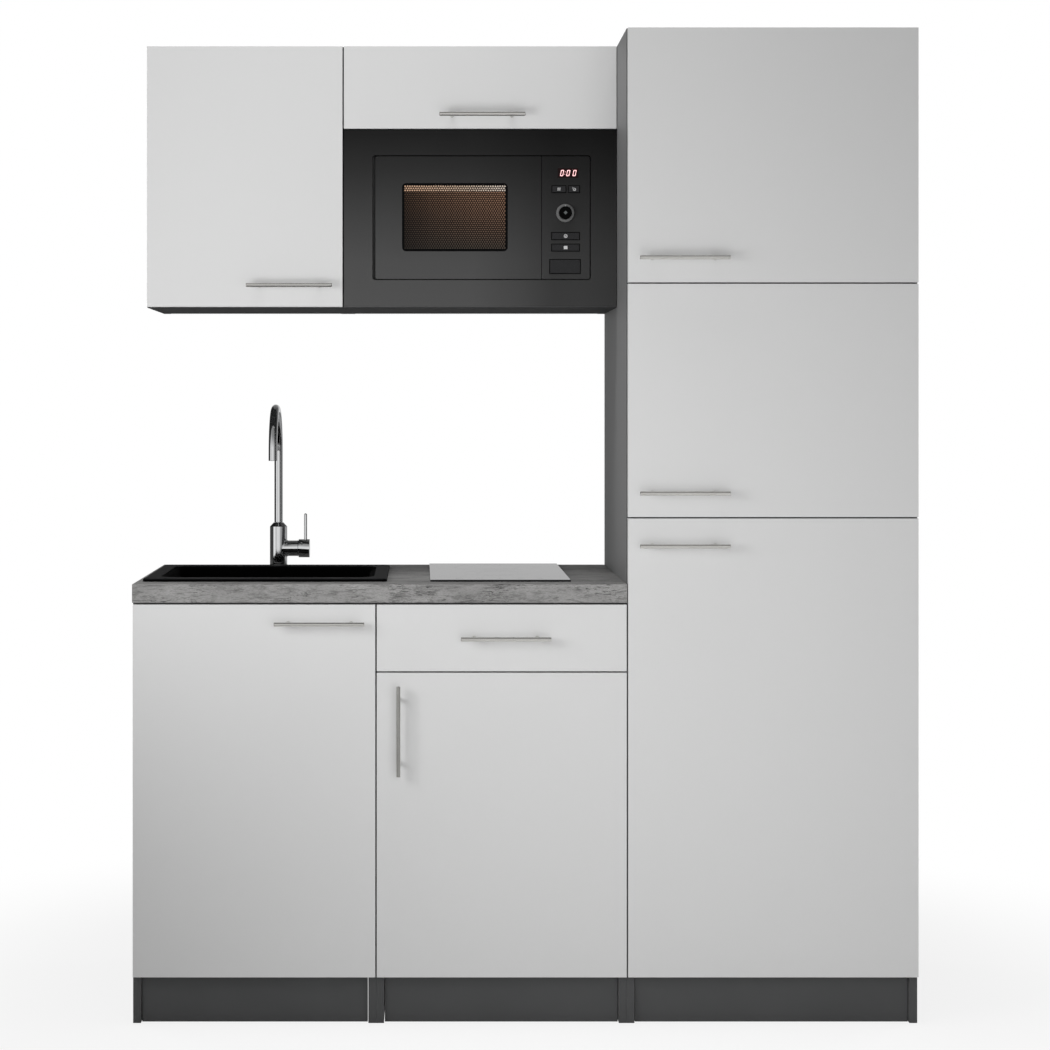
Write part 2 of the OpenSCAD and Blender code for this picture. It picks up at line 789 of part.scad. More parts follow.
// The cabinet's half of each runner, a channel that is open towards the drawer
module drawer_runners() {
    lip = runner_space - 2 * runner_t;
    color(steel_colour)
        for (right = [0, 1]) translate([right ? x_tall - board_t : x_drawer + board_t, runner_y0, runner_z])
            mirror([right, 0, 0]) difference() {
                translate([0, 0, -runner_h / 2]) cube([lip, drawer_l, runner_h]);
                translate([runner_t, -eps, runner_t - runner_h / 2])
                    cube([lip, drawer_l + 2 * eps, runner_h - 2 * runner_t]);
            }
}

// Sink -----------------------------------------------------------------

z_rim = worktop_z + sink_rim_h;
z_bowl = z_rim - bowl_h;

module sink_bowl() {
    lip_r = bowl_r + bowl_lip;
    color(black_colour) translate([x_sink, y_sink, 0]) difference() {
        union() {
            translate([0, 0, worktop_z])
                linear_extrude(height = sink_rim_h) round_rect(sink_w, sink_d, sink_r);
            translate([0, 0, z_bowl - bowl_t]) linear_extrude(height = bowl_h - sink_rim_h + bowl_t + eps)
                round_rect(bowl_w + 2 * bowl_t, bowl_d + 2 * bowl_t, bowl_r + bowl_t);
        }
        translate([0, 0, z_bowl]) linear_extrude(height = bowl_h + eps) round_rect(bowl_w, bowl_d, bowl_r);
        translate([0, 0, z_rim - sink_rim_h / 2]) linear_extrude(height = sink_rim_h)
            round_rect(bowl_w + 2 * bowl_lip, bowl_d + 2 * bowl_lip, lip_r);
        translate([0, 0, z_bowl - bowl_t - eps]) cylinder(d = drain_d, h = bowl_t + 2 * eps);
        translate([0, 0, worktop_z - eps]) linear_extrude(height = sink_rim_h - bowl_t + eps) difference() {
            round_rect(sink_w - 2 * bowl_t, sink_d - 2 * bowl_t, sink_r - bowl_t);
            round_rect(bowl_w + 2 * (bowl_lip + bowl_t), bowl_d + 2 * (bowl_lip + bowl_t), lip_r + bowl_t);
        }
    }
}

flange_t = 1.5;
flange_lap = 10; // how far the flange laps over the drain hole's edge
pot_t = 2;
pot_air = 1; // between the strainer's pot and the drain hole's edge
pot_r = drain_d / 2 - pot_air;
plug_air = 1.5; // between the plug and the strainer's pot
z_pot = z_bowl - strainer_h;
z_trap_top = z_pot - waste_drop;
z_trap = z_trap_top - trap_h;
z_outlet = z_trap_top - waste_pipe_d;

module sink_waste() {
    pipe_r = waste_pipe_d / 2;
    outlet_end = y_back - outlet_gap;
    bore_r = pipe_r - waste_pipe_t;
    color("#cfd0d0") translate([x_sink, y_sink, 0]) difference() {
        union() {
            translate([0, 0, z_bowl]) cylinder(r = drain_d / 2 + flange_lap, h = flange_t);
            translate([0, 0, z_pot]) cylinder(r = pot_r, h = strainer_h + flange_t);
            translate([0, 0, z_trap_top - eps]) cylinder(r = pipe_r, h = waste_drop + 2 * eps);
            translate([0, 0, z_trap]) cylinder(d = trap_d, h = trap_h);
            for (z = [z_trap_top - eps, z_pot - waste_nut_l + eps])
                translate([0, 0, z]) cylinder(d = waste_nut_d, h = waste_nut_l);
            translate([0, 0, z_outlet]) rotate([-90, 0, 0]) {
                cylinder(r = pipe_r, h = outlet_end - y_sink);
                cylinder(d = waste_nut_d, h = trap_d / 2 + waste_nut_l);
            }
        }
        translate([0, 0, z_pot + pot_t]) cylinder(r = pot_r - pot_t, h = strainer_h + 2 * eps);
        translate([0, 0, z_trap + pot_t]) cylinder(r = bore_r, h = z_pot - z_trap + eps);
        translate([0, trap_d / 4, z_outlet]) rotate([-90, 0, 0]) cylinder(r = bore_r, h = unit_d);
    }
}

// The plug fills the strainer's pot and is lifted by its knob
module sink_plug() {
    r = pot_r - pot_t - plug_air;
    basket_h = strainer_h - pot_t - 2 * plug_air;
    z0 = z_pot + pot_t + plug_air;
    color(steel_colour) translate([x_sink, y_sink, z0]) {
        difference() {
            cylinder(r = r, h = basket_h);
            translate([0, 0, plug_air]) cylinder(r = r - plug_air, h = basket_h);
        }
        translate([0, 0, plug_air]) cylinder(d = plug_stem_d, h = basket_h + flange_t);
        translate([0, 0, basket_h + flange_t]) cylinder(d = plug_knob_d, h = plug_knob_h);
    }
}

// Tap ------------------------------------------------------------------

tap_r = tap_body_d / 2;
spout_r = spout_d / 2;
arc_r = spout_reach / 2;
z_shoulder = worktop_z + tap_body_h;
z_body_top = z_shoulder + tap_shoulder_h;
z_arc = worktop_z + spout_top - spout_r - arc_r;
z_cartridge = worktop_z + cartridge_z;
joint_air = 0.3; // between pieces that turn face to face
shoulder_ledge = 1.5; // flat ring around the spout on top of the shoulder

module tap_body() {
    z_nut = z_under - tap_nut_h;
    color(chrome_colour) translate([x_sink, y_tap, 0]) {
        difference() {
            union() {
                translate([0, 0, worktop_z]) cylinder(d = tap_base_d, h = tap_base_h);
                translate([0, 0, worktop_z]) cylinder(r = tap_r, h = tap_body_h);
                translate([0, 0, z_shoulder])
                    cylinder(r1 = tap_r, r2 = spout_r + shoulder_ledge, h = tap_shoulder_h);
                translate([0, 0, z_cartridge]) rotate([0, 90, 0]) cylinder(d = cartridge_d, h = cartridge_l);
                translate([0, 0, z_nut]) cylinder(d = shank_d, h = worktop_z - z_nut + eps);
            }
            translate([0, 0, z_body_top - spigot_l - joint_air])
                cylinder(r = spigot_d / 2 + shaft_air, h = spigot_l + joint_air + eps);
            for (x = [-1, 1]) translate([x * tail_pitch / 2, 0, z_nut - eps])
                cylinder(d = tail_d, h = tail_d + eps);
        }
        translate([0, 0, z_nut]) difference() {
            cylinder(d = tap_nut_d, h = tap_nut_h);
            translate([0, 0, -eps]) cylinder(d = shank_d, h = tap_nut_h + 2 * eps);
        }
        for (x = [-1, 1]) translate([x * tail_pitch / 2, 0, z_nut - tail_l])
            cylinder(d = tail_d, h = tail_l + tail_d);
    }
}

module tap_spout() {
    z0 = z_body_top + joint_air;
    bore_r = spout_r - spout_t;
    color(chrome_colour) translate([x_sink, y_tap, 0]) {
        translate([0, 0, z0 - spigot_l]) cylinder(d = spigot_d, h = spigot_l + eps);
        translate([0, 0, z0]) cylinder(r = spout_r, h = z_arc - z0);
        translate([0, -arc_r, z_arc]) rotate([90, 0, 90])
            rotate_extrude(angle = 180) translate([arc_r, 0]) circle(spout_r);
        translate([0, -spout_reach, z_arc - spout_end]) difference() {
            cylinder(r = spout_r, h = spout_end);
            translate([0, 0, -eps]) cylinder(r = bore_r, h = spout_end / 2 + eps);
        }
    }
}

lever_x = cartridge_l + joint_air + cap_l - lever_in;
z_lever_pivot = z_cartridge + cap_d / 2 - lever_pivot;
lever_tilt = 18; // degrees, outwards
lever_slot_air = 0.35;
lever_slot_end = 1; // room past the lever when it is tilted

module tap_cap() {
    r = lever_d / 2 + lever_slot_air;
    out = lever_pivot * tan(lever_tilt) + lever_slot_end;
    color(chrome_colour) translate([x_sink, y_tap, 0]) difference() {
        translate([cartridge_l + joint_air, 0, z_cartridge])
            rotate([0, 90, 0]) cylinder(d = cap_d, h = cap_l);
        board([lever_x - r, -r, z_lever_pivot - r], [lever_x + r + out, r, z_cartridge + cap_d]);
    }
}

module tap_lever() {
    r = lever_d / 2;
    color(chrome_colour) translate([x_sink + lever_x, y_tap, z_lever_pivot]) {
        sphere(r);
        cylinder(r = r, h = worktop_z + lever_top - z_lever_pivot);
    }
}

// Hob ------------------------------------------------------------------

module hob_glass() {
    color("#17181a")
        board([x_hob - hob_w / 2, y_hob - hob_d / 2, worktop_z],
              [x_hob + hob_w / 2, y_hob + hob_d / 2, worktop_z + hob_glass_t]);
}

module hob_body() {
    w = hob_w / 2 - hob_lap - hob_air;
    d = hob_d / 2 - hob_lap - hob_air;
    color(black_colour)
        board([x_hob - w, y_hob - d, worktop_z - hob_body_h], [x_hob + w, y_hob + d, worktop_z]);
}

// Microwave ------------------------------------------------------------

mw_x0 = x_wall + half_gap;
mw_x1 = x_tall - half_gap;
mw_z0 = z_wall_low;
mw_z1 = flap_seam_z - half_gap;
mw_in_x0 = mw_x0 + mw_frame_left;
mw_in_x1 = mw_x1 - mw_frame_right;
mw_in_z0 = mw_z0 + mw_frame_bottom;
mw_in_z1 = mw_z1 - mw_frame_top;

// Door and control panel fill the frame's opening, with a gap all round
mw_door_x0 = mw_in_x0 + mw_hinge_gap;
mw_panel_x1 = mw_in_x1 - mw_gap;
mw_panel_x0 = mw_panel_x1 - mw_panel_w;
mw_door_x1 = mw_panel_x0 - mw_gap / 2;
mw_low = mw_in_z0 + mw_gap;
mw_high = mw_in_z1 - mw_gap;

mw_y_case = y_wall_face + mw_frame_t;
mw_y_plate = y_wall_face + mw_door_t + mw_door_air;
mw_y_cavity = mw_y_plate + mw_sheet;
mw_case = [x_wall + board_t + mw_side_air, x_tall - board_t - mw_side_air,
           wall_bottom_z + board_t, flap_seam_z - board_t / 2 - mw_top_air];
cavity = [mw_door_x0 + mw_door_lap, mw_door_x1 - mw_door_lap, mw_low + mw_door_lap, mw_high - mw_door_lap];

module microwave_frame() {
    color("#2e2f31") difference() {
        board([mw_x0, y_wall_face, mw_z0], [mw_x1, mw_y_case, mw_z1]);
        board([mw_in_x0, y_wall_face - eps, mw_in_z0], [mw_in_x1, mw_y_case + eps, mw_in_z1]);
    }
}

// Five flat sheets that close a box behind its open front; r is [x0, x1, z0, z1]
module sheet_box(r, y0, y1, t) {
    for (x = [r[0], r[1] - t]) board([x, y0, r[2]], [x + t, y1, r[3]]);
    for (z = [r[2], r[3] - t]) board([r[0] + t, y0, z], [r[1] - t, y1, z + t]);
    board([r[0] + t, y1 - t, r[2] + t], [r[1] - t, y1, r[3] - t]);
}

module microwave_case() {
    t = mw_sheet;
    color("#8d8f91") {
        sheet_box(mw_case, mw_y_case, mw_y_cavity + mw_depth, t);
        difference() {
            board([mw_case[0] + t, mw_y_plate, mw_case[2] + t],
                  [mw_case[1] - t, mw_y_cavity, mw_case[3] - t]);
            board([cavity[0], mw_y_plate - eps, cavity[2]], [cavity[1], mw_y_cavity + eps, cavity[3]]);
        }
    }
}

module microwave_cavity() {
    t = mw_sheet;
    outer = [cavity[0] - t, cavity[1] + t, cavity[2] - t, cavity[3] + t];
    color("#b9bab8") {
        sheet_box(outer, mw_y_cavity, mw_y_cavity + mw_cavity_d, t);
        translate([turntable_x, turntable_y, cavity[2]])
            cylinder(d = coupler_d, h = turntable_lift - joint_air);
    }
}

roller_axle_z = roller_d / 2 + joint_air;
turntable_lift = roller_axle_z + roller_d / 2 + joint_air;
turntable_x = (cavity[0] + cavity[1]) / 2;
turntable_y = mw_y_cavity + mw_cavity_d / 2;

module turntable() {
    r = turntable_d / 2;
    color("#c8d6d6") translate([turntable_x, turntable_y, cavity[2] + turntable_lift])
        rotate_extrude() polygon([
            [0, 0], [r - 3 * turntable_t, 0], [r, 1.2 * turntable_t], [r, 2 * turntable_t],
            [r - 1, 2 * turntable_t], [r - 3.4 * turntable_t, turntable_t], [0, turntable_t]
        ]);
}

module roller_ring() {
    r = roller_ring_d / 2;
    color("#d9d9d6") translate([turntable_x, turntable_y, cavity[2]]) {
        translate([0, 0, roller_axle_z - ring_t / 2]) difference() {
            cylinder(r = r, h = ring_t);
            translate([0, 0, -eps]) cylinder(r = r - ring_w, h = ring_t + 2 * eps);
        }
        for (a = [90 : 120 : 330]) rotate([0, 0, a]) translate([r, 0, roller_axle_z])
            rotate([0, 90, 0]) {
                cylinder(d = roller_d, h = roller_w);
                translate([0, 0, -ring_w / 2]) cylinder(d = axle_d, h = ring_w);
            }
    }
}

mw_door_w = mw_door_x1 - mw_door_x0;
window_x = mw_door_x0 + mw_window_left + mw_window_w / 2;
window_z = mw_low + mw_window_rise + mw_window_h / 2;

// An upright block over [x0, x1, z0, z1] with its corners rounded on the left or the right
module front_block(r, y0, y1, left) {
    c = mw_corner_r;
    translate([0, y1, 0]) rotate([90, 0, 0]) linear_extrude(height = y1 - y0) {
        translate([r[0] + (left ? c : 0), r[2]]) square([r[1] - r[0] - c, r[3] - r[2]]);
        translate([left ? r[0] : r[1] - c, r[2] + c]) square([c, r[3] - r[2] - 2 * c]);
        for (z = [r[2] + c, r[3] - c]) translate([left ? r[0] + c : r[1] - c, z]) circle(c);
    }
}

// The rounded window's outline, standing up, made larger by grow
module window_block(y0, y1, grow) {
    translate([window_x, y1, window_z]) rotate([90, 0, 0]) linear_extrude(height = y1 - y0)
        round_rect(mw_window_w + 2 * grow, mw_window_h + 2 * grow, mw_window_r + grow);
}

window_lap = 8; // how far the door's frame holds the window behind its edge

module microwave_door() {
    y1 = y_wall_face + mw_door_t;
    glass_back = y_wall_face + mw_window_in + mw_window_t;
    color(dark_colour) difference() {
        front_block([mw_door_x0, mw_door_x1, mw_low, mw_high], y_wall_face, y1, true);
        window_block(y_wall_face - eps, glass_back, 0);
        window_block(glass_back - eps, y1 + eps, -window_lap);
    }
}

module microwave_window() {
    y0 = y_wall_face + mw_window_in;
    color("#3b2a26") window_block(y0, y0 + mw_window_t, 0);
}

// Controls, each given as [left, right, low, high] from the panel's left and lower edges
button_1 = [22.3, 50.5, 185.7, 198.3];
button_2 = [57.5, 79.7, 185.7, 198.3];
button_3 = [21.6, 79.6, 84.8, 98.4];
button_4 = [21.6, 79.6, 60.4, 73.6];
button_5 = [17.5, 81.4, 12.5, 40.6];
display = [33.7, 77.7, 216, 237];
knob_x = 49.8;
knob_z = 140.6;
buttons = [button_1, button_2, button_3, button_4, button_5];

function on_panel(r) = [mw_panel_x0 + r[0], mw_panel_x0 + r[1], mw_low + r[2], mw_low + r[3]];

// A block on the panel from depth y0 to y1 behind its face, made larger by grow
module panel_block(r, y0, y1, grow = 0) {
    p = on_panel(r);
    board([p[0] - grow, y_wall_face + y0, p[2] - grow], [p[1] + grow, y_wall_face + y1, p[3] + grow]);
}

module at_knob() {
    translate([mw_panel_x0 + knob_x, y_wall_face, mw_low + knob_z]) rotate([-90, 0, 0]) children();
}

module microwave_panel() {
    wall = 2;
    color(dark_colour) difference() {
        front_block([mw_panel_x0, mw_panel_x1, mw_low, mw_high], y_wall_face, mw_y_plate, false);
        board([mw_panel_x0 + wall, y_wall_face + mw_panel_t, mw_low + wall],
              [mw_panel_x1 - wall, mw_y_plate + eps, mw_high - wall]);
        for (b = buttons) panel_block(b, -eps, mw_panel_t + eps, button_air);
        panel_block(display, -eps, mw_panel_t + eps);
        at_knob() translate([0, 0, -eps])
            cylinder(r = knob_shaft_d / 2 + shaft_air, h = mw_panel_t + 2 * eps);
    }
}

module microwave_display() {
    color("#5a1512") panel_block(display, display_in, mw_panel_t);
}

module button(r) {
    color("#55575a") panel_block(r, -button_out, button_in);
}

module button_upper_left() { button(button_1); }
module button_upper_right() { button(button_2); }
module button_wide_upper() { button(button_3); }
module button_wide_lower() { button(button_4); }
module button_door_release() { button(button_5); }

module microwave_knob() {
    shaft_l = knob_air + mw_panel_t + knob_tail;
    color("#6d6f71") at_knob() {
        translate([0, 0, -knob_skirt - knob_air]) cylinder(d = knob_d, h = knob_skirt);
        translate([0, 0, -knob_out]) cylinder(d = knob_grip_d, h = knob_out - knob_skirt - knob_air + eps);
        translate([0, 0, -knob_air - eps]) cylinder(d = knob_shaft_d, h = shaft_l + eps);
    }
}

worktop();
sink_base_sides();
sink_base_boards();
drawer_base_sides();
drawer_base_boards();
tall_sides();
tall_boards();
wall_cabinet_sides();
wall_cabinet_boards();
microwave_cabinet_sides();
microwave_cabinet_boards();
loose_shelves();
back_panels();
plinth_boards();
shelf_pins();
hinge_arms();
drawer_runners();
wall_hangers();
sink_bowl();
sink_waste();
tap_body();
hob_glass();
hob_body();
microwave_frame();
microwave_case();
microwave_cavity();
microwave_panel();
microwave_display();
sink_door();
sink_door_fittings();
base_door();
base_door_fittings();
drawer_front();
drawer_handle();
drawer_box();
drawer_slides();
tall_lower_door();
tall_lower_fittings();
tall_middle_door();
tall_middle_fittings();
tall_upper_door();
tall_upper_fittings();
wall_door();
wall_door_fittings();
flap_door();
flap_fittings();
microwave_door();
microwave_window();
microwave_knob();
button_upper_left();
button_upper_right();
button_wide_upper();
button_wide_lower();
button_door_release();
turntable();
roller_ring();
tap_spout();
tap_cap();
tap_lever();
sink_plug();
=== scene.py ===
"""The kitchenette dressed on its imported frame: finishes, fittings, lights and camera.

Shapes are worked out in millimetres, and Piece.write turns them into metres. Node trees, the camera
and the lights are in metres.
"""

from math import cos, hypot, pi, radians, sin, tau

import bmesh
import bpy
from mathutils import Matrix, Vector

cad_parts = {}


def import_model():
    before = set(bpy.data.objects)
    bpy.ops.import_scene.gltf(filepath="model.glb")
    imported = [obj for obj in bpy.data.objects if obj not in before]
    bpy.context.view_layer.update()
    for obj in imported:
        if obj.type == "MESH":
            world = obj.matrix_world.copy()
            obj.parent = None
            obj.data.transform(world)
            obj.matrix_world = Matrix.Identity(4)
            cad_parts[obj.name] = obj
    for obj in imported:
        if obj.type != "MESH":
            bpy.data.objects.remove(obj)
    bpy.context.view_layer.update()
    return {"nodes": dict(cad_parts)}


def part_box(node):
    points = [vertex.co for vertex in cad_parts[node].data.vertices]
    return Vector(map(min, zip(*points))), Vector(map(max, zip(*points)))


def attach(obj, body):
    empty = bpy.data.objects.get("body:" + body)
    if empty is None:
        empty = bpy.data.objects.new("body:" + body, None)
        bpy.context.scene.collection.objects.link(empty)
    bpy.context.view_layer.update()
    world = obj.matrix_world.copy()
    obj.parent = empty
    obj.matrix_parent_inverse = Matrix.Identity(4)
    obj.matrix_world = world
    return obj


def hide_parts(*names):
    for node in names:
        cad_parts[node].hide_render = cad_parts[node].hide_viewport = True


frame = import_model()
nodes = frame["nodes"]
scene = bpy.context.scene
MM = 0.001
X, Y, Z = Vector((1, 0, 0)), Vector((0, 1, 0)), Vector((0, 0, 1))
SIDES = (-1, 1)


# Places read from the frame, in millimetres

def places(node):
    return [v.co / MM for v in nodes[node].data.vertices]


def box(node):
    """Lowest and highest corner of a CAD node."""
    return [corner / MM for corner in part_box(node)]


def middle(node):
    low, high = box(node)
    return (low + high) / 2


def box_where(node, chosen):
    """Corners of those vertices of a CAD node for which chosen(place) is true."""
    kept = [p for p in places(node) if chosen(p)]
    return [Vector([pick(p[i] for p in kept) for i in range(3)]) for pick in (min, max)]


def runs(values, gap):
    """Groups sorted values into runs parted by more than gap, as (lowest, highest)."""
    groups = []
    for v in sorted(values):
        if groups and v - groups[-1][1] <= gap:
            groups[-1][1] = v
        else:
            groups.append([v, v])
    return groups


FACE_Y = box("sink_door")[0].y
WALL_FACE_Y = box("wall_door")[0].y
WORKTOP_LOW, WORKTOP_HIGH = box("worktop")


# Building meshes

def add_object(name, data):
    """Puts a new object with the given data into the scene."""
    thing = bpy.data.objects.new(name, data)
    scene.collection.objects.link(thing)
    return thing


def tuned(thing, **settings):
    """Gives a thing its settings."""
    for name, value in settings.items():
        setattr(thing, name, value)
    return thing


def modify(thing, kind, label, **settings):
    """Gives an object a modifier with the given settings."""
    tuned(thing.modifiers.new(label, kind), **settings)


def axes(origin, right, back, up):
    """The matrix that puts local X, Y and Z along right, back and up at origin."""
    m = Matrix((right, back, up)).transposed().to_4x4()
    m.translation = origin
    return m


def at(x, y, z):
    return Matrix.Translation((x, y, z))


def along(direction, origin=(0, 0, 0)):
    """Puts local Z along a direction."""
    turn = Vector(direction).to_track_quat("Z", "Y").to_matrix().to_4x4()
    return Matrix.Translation(origin) @ turn


def polar(r, angle, x=0, y=0):
    """A point at a distance and an angle from (x, y)."""
    return x + r * cos(angle), y + r * sin(angle)


def turn_z(angle):
    return Matrix.Rotation(angle, 4, "Z")


def facing(x, y, z):
    """A frame on a surface that faces the viewer: X right, Y up, Z out."""
    return axes(Vector((x, y, z)), X, Z, -Y)


class Piece:
    """One mesh object, collected from closed shapes in millimetres."""

    def __init__(self, name):
        self.name = name
        self.bm = bmesh.new()

    def add(self, verts, faces, place, material=0):
        made = [self.bm.verts.new(place @ Vector(v)) for v in verts]
        for f in faces:
            self.bm.faces.new([made[i] for i in f]).material_index = material

    def merge(self, part, place=Matrix(), material=0):
        """Takes over the faces of another bmesh."""
        part.verts.index_update()
        verts = [v.co.copy() for v in part.verts]
        faces = [[v.index for v in f.verts] for f in part.faces]
        part.free()
        self.add(verts, faces, place, material)

    def block(self, low, high, edge=0.4, place=Matrix(), material=0):
        """A block with rounded edges."""
        part = bmesh.new()
        size = Vector(high) - Vector(low)
        shift = Matrix.Translation((Vector(high) + Vector(low)) / 2)
        bmesh.ops.create_cube(part, size=1, matrix=shift @ Matrix.Diagonal((*size, 1)))
        if edge > 0:
            bmesh.ops.bevel(part, geom=part.edges[:], offset=edge, segments=2, profile=0.5,
                            affect="EDGES", clamp_overlap=True)
        self.merge(part, place, material)

    def skin(self, verts, rows, place, material=0):
        """Quads between neighbouring rows of vertex numbers, each row a closed ring."""
        faces = []
        for a, b in zip(rows, rows[1:]):
            for i in range(len(a)):
                j = (i + 1) % len(a)
                quad = [a[i], a[j], b[j], b[i]]
                face = [v for k, v in enumerate(quad) if v not in quad[:k]]
                if len(face) > 2:
                    faces.append(face)
        self.add(verts, faces, place, material)

    def turned(self, profile, place=Matrix(), material=0, steps=40):
        """A body turned around local Z from points (radius, height), closed on its axis or in itself."""
        verts, rows = [], []
        for r, h in profile:
            if r == 0:
                rows.append([len(verts)] * steps)
                verts.append((0, 0, h))
            else:
                rows.append([len(verts) + i for i in range(steps)])
                verts += [(*polar(r, tau * i / steps), h) for i in range(steps)]
        if profile[0][0] > 0 or profile[-1][0] > 0:
            rows.append(rows[0])
        self.skin(verts, rows, place, material)

    def rod(self, r, low, high, place=Matrix(), material=0, steps=40):
        """A plain round rod or disc along local Z."""
        self.turned([(0, low), (r, low), (r, high), (0, high)], place, material, steps)

    def tube(self, path, radii, place, steps):
        """A round bar along points (y, z) in the plane across local X, with one radius per point."""
        rings = []
        for k, (y, z) in enumerate(path):
            a, b = path[max(k - 1, 0)], path[min(k + 1, len(path) - 1)]
            way = Vector((0, b[0] - a[0], b[1] - a[1])).normalized()
            side = X.cross(way)
            rings.append([Vector((0, y, z)) + radii[k] * (X * cos(t) + side * sin(t))
                          for t in (tau * i / steps for i in range(steps))])
        verts = [v for ring in rings for v in ring]
        rows = [[k * steps + i for i in range(steps)] for k in range(len(rings))]
        first, last = len(verts), len(verts) + 1
        verts += [Vector((0, *path[0])), Vector((0, *path[-1]))]
        self.skin(verts, [[first] * steps, *rows, [last] * steps], place)

    def write(self, sharp=35):
        """Writes the object in metres, with edges sharper than the given angle left crisp."""
        bmesh.ops.recalc_face_normals(self.bm, faces=self.bm.faces[:])
        for f in self.bm.faces:
            f.smooth = True
        for e in self.bm.edges:
            e.smooth = e.calc_face_angle(0) < radians(sharp)
        self.bm.transform(Matrix.Scale(MM, 4))
        mesh = bpy.data.meshes.new(self.name)
        self.bm.to_mesh(mesh)
        self.bm.free()
        return add_object(self.name, mesh)

    def done(self, body, slot, *finishes, replaces=(), sharp=35):
        """Writes the piece with its finishes and hands it to the frame."""
        piece = self.write(sharp)
        for finish in finishes:
            piece.data.materials.append(finish.material)
        modify(piece, "WEIGHTED_NORMAL", "normals", keep_sharp=True)
        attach(piece, body)
        if replaces:
            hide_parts(*replaces)


def screw(piece, place, r=3.6):
    """A low screw head whose cross-shaped drive is a dark mark in the piece's second material: painted shade
    standing in for the recess.
    """
    piece.turned([(0, 0), (r, 0), (r, 0.4), (0.75 * r, 1.1), (0, 1.3)], place, 0, 20)
    for angle in (0, pi / 2):
        piece.block((-0.5 * r, -0.09 * r, 1.0), (0.5 * r, 0.09 * r, 1.4), 0, place @ turn_z(angle), 1)


# Materials

class Tree:
    """Short ways to add nodes to a node tree."""

    def __init__(self, tree):
        self.tree = tree

    def node(self, kind, inputs=None, **settings):
        """A new node with settings, and with values or links fed into its inputs."""
        n = tuned(self.tree.nodes.new(kind), **settings)
        for socket, value in (inputs or {}).items():
            self.feed(n.inputs[socket], value)
        return n

    def feed(self, socket, value):
        """Links an output into a socket, or sets its value; a colour may come without its alpha."""
        if isinstance(value, bpy.types.NodeSocket):
            self.tree.links.new(value, socket)
        elif socket.type == "RGBA" and len(value) == 3:
            socket.default_value = (*value, 1)
        else:
            socket.default_value = value

    def math(self, operation, a, b=0.0, clamp=False):
        return self.node("ShaderNodeMath", {0: a, 1: b}, operation=operation, use_clamp=clamp).outputs[0]

    def times(self, a, b, clamp=False):
        return self.math("MULTIPLY", a, b, clamp)

    def ramp(self, value, *stops):
        """A grey or coloured ramp from stops (position, colour)."""
        n = self.node("ShaderNodeValToRGB", {"Fac": value})
        while len(n.color_ramp.elements) < len(stops):
            n.color_ramp.elements.new(0.5)
        for e, (position, colour) in zip(n.color_ramp.elements, stops):
            e.position = position
            e.color = (*colour, 1) if isinstance(colour, tuple) else (colour, colour, colour, 1)
        return n.outputs["Color"]

    def mix(self, factor, a, b, blend="MIX"):
        n = self.node("ShaderNodeMix", data_type="RGBA", blend_type=blend)
        for name, value in (("Factor", factor), ("A", a), ("B", b)):
            self.feed(next(s for s in n.inputs if s.name == name and s.enabled), value)
        return next(s for s in n.outputs if s.enabled)

    def spread(self, value, low, high, start=0.0, end=1.0, shape="LINEAR"):
        """Maps start..end onto low..high."""
        ends = {"Value": value, "From Min": start, "From Max": end, "To Min": low, "To Max": high}
        return self.node("ShaderNodeMapRange", ends, interpolation_type=shape).outputs["Result"]

    def split(self, vector):
        return self.node("ShaderNodeSeparateXYZ", {0: vector}).outputs

    def rays(self, *kinds):
        """1 for one or two named kinds of ray, 0 for the others."""
        outputs = self.node("ShaderNodeLightPath").outputs
        return self.math("ADD", *[outputs[f"Is {kind} Ray"] for kind in kinds], clamp=True)


class Finish(Tree):
    """A Principled material with helpers for its node tree."""

    def __init__(self, name, colour=(0.5, 0.5, 0.5), roughness=0.5, metallic=0.0, gloss=0.5, **sockets):
        self.material = bpy.data.materials.new(name)
        self.material.use_nodes = True
        super().__init__(self.material.node_tree)
        self.shader = self.tree.nodes["Principled BSDF"]
        self.place = self.node("ShaderNodeTexCoord").outputs["Object"]
        self.set("Base Color", colour)
        self.set("Roughness", roughness)
        self.set("Metallic", metallic)
        self.set("Specular IOR Level", gloss)
        for socket, value in sockets.items():
            self.set(socket.replace("_", " "), value)

    def set(self, socket, value):
        self.feed(self.shader.inputs[socket], value)

    def noise(self, scale, stretch=(1, 1, 1), detail=4, roughness=0.55, distortion=0.0):
        """Noise over the object's coordinates, stretched per axis."""
        where = self.node("ShaderNodeMapping", {"Scale": stretch, "Vector": self.place}).outputs["Vector"]
        inputs = {"Vector": where, "Scale": scale, "Detail": detail, "Roughness": roughness,
                  "Distortion": distortion}
        return self.node("ShaderNodeTexNoise", inputs).outputs["Fac"]

    def axis(self, name):
        """One of the object's coordinates."""
        return self.split(self.place)[name]

    def share(self, name, low, high):
        """How far a point lies from low to high along an axis, from 0 to 1."""
        return self.math("DIVIDE", self.math("SUBTRACT", self.axis(name), low), high - low, clamp=True)

    def tint(self, value, low, high, start=0.3, end=0.7):
        """The colour follows a value, from low at start to high at end."""
        self.set("Base Color", self.ramp(value, (start, low), (end, high)))

    def rough(self, value, low, high):
        self.set("Roughness", self.spread(value, low, high))

    def bump(self, height, depth, strength=0.5):
        """A bump of the given depth in millimetres."""
        n = self.node("ShaderNodeBump", {"Height": height, "Strength": strength, "Distance": depth * MM})
        self.set("Normal", n.outputs["Normal"])


def shades(colour, *factors):
    """The colour made darker or lighter by each factor."""
    return [tuple(c * k for c in colour) for k in factors]


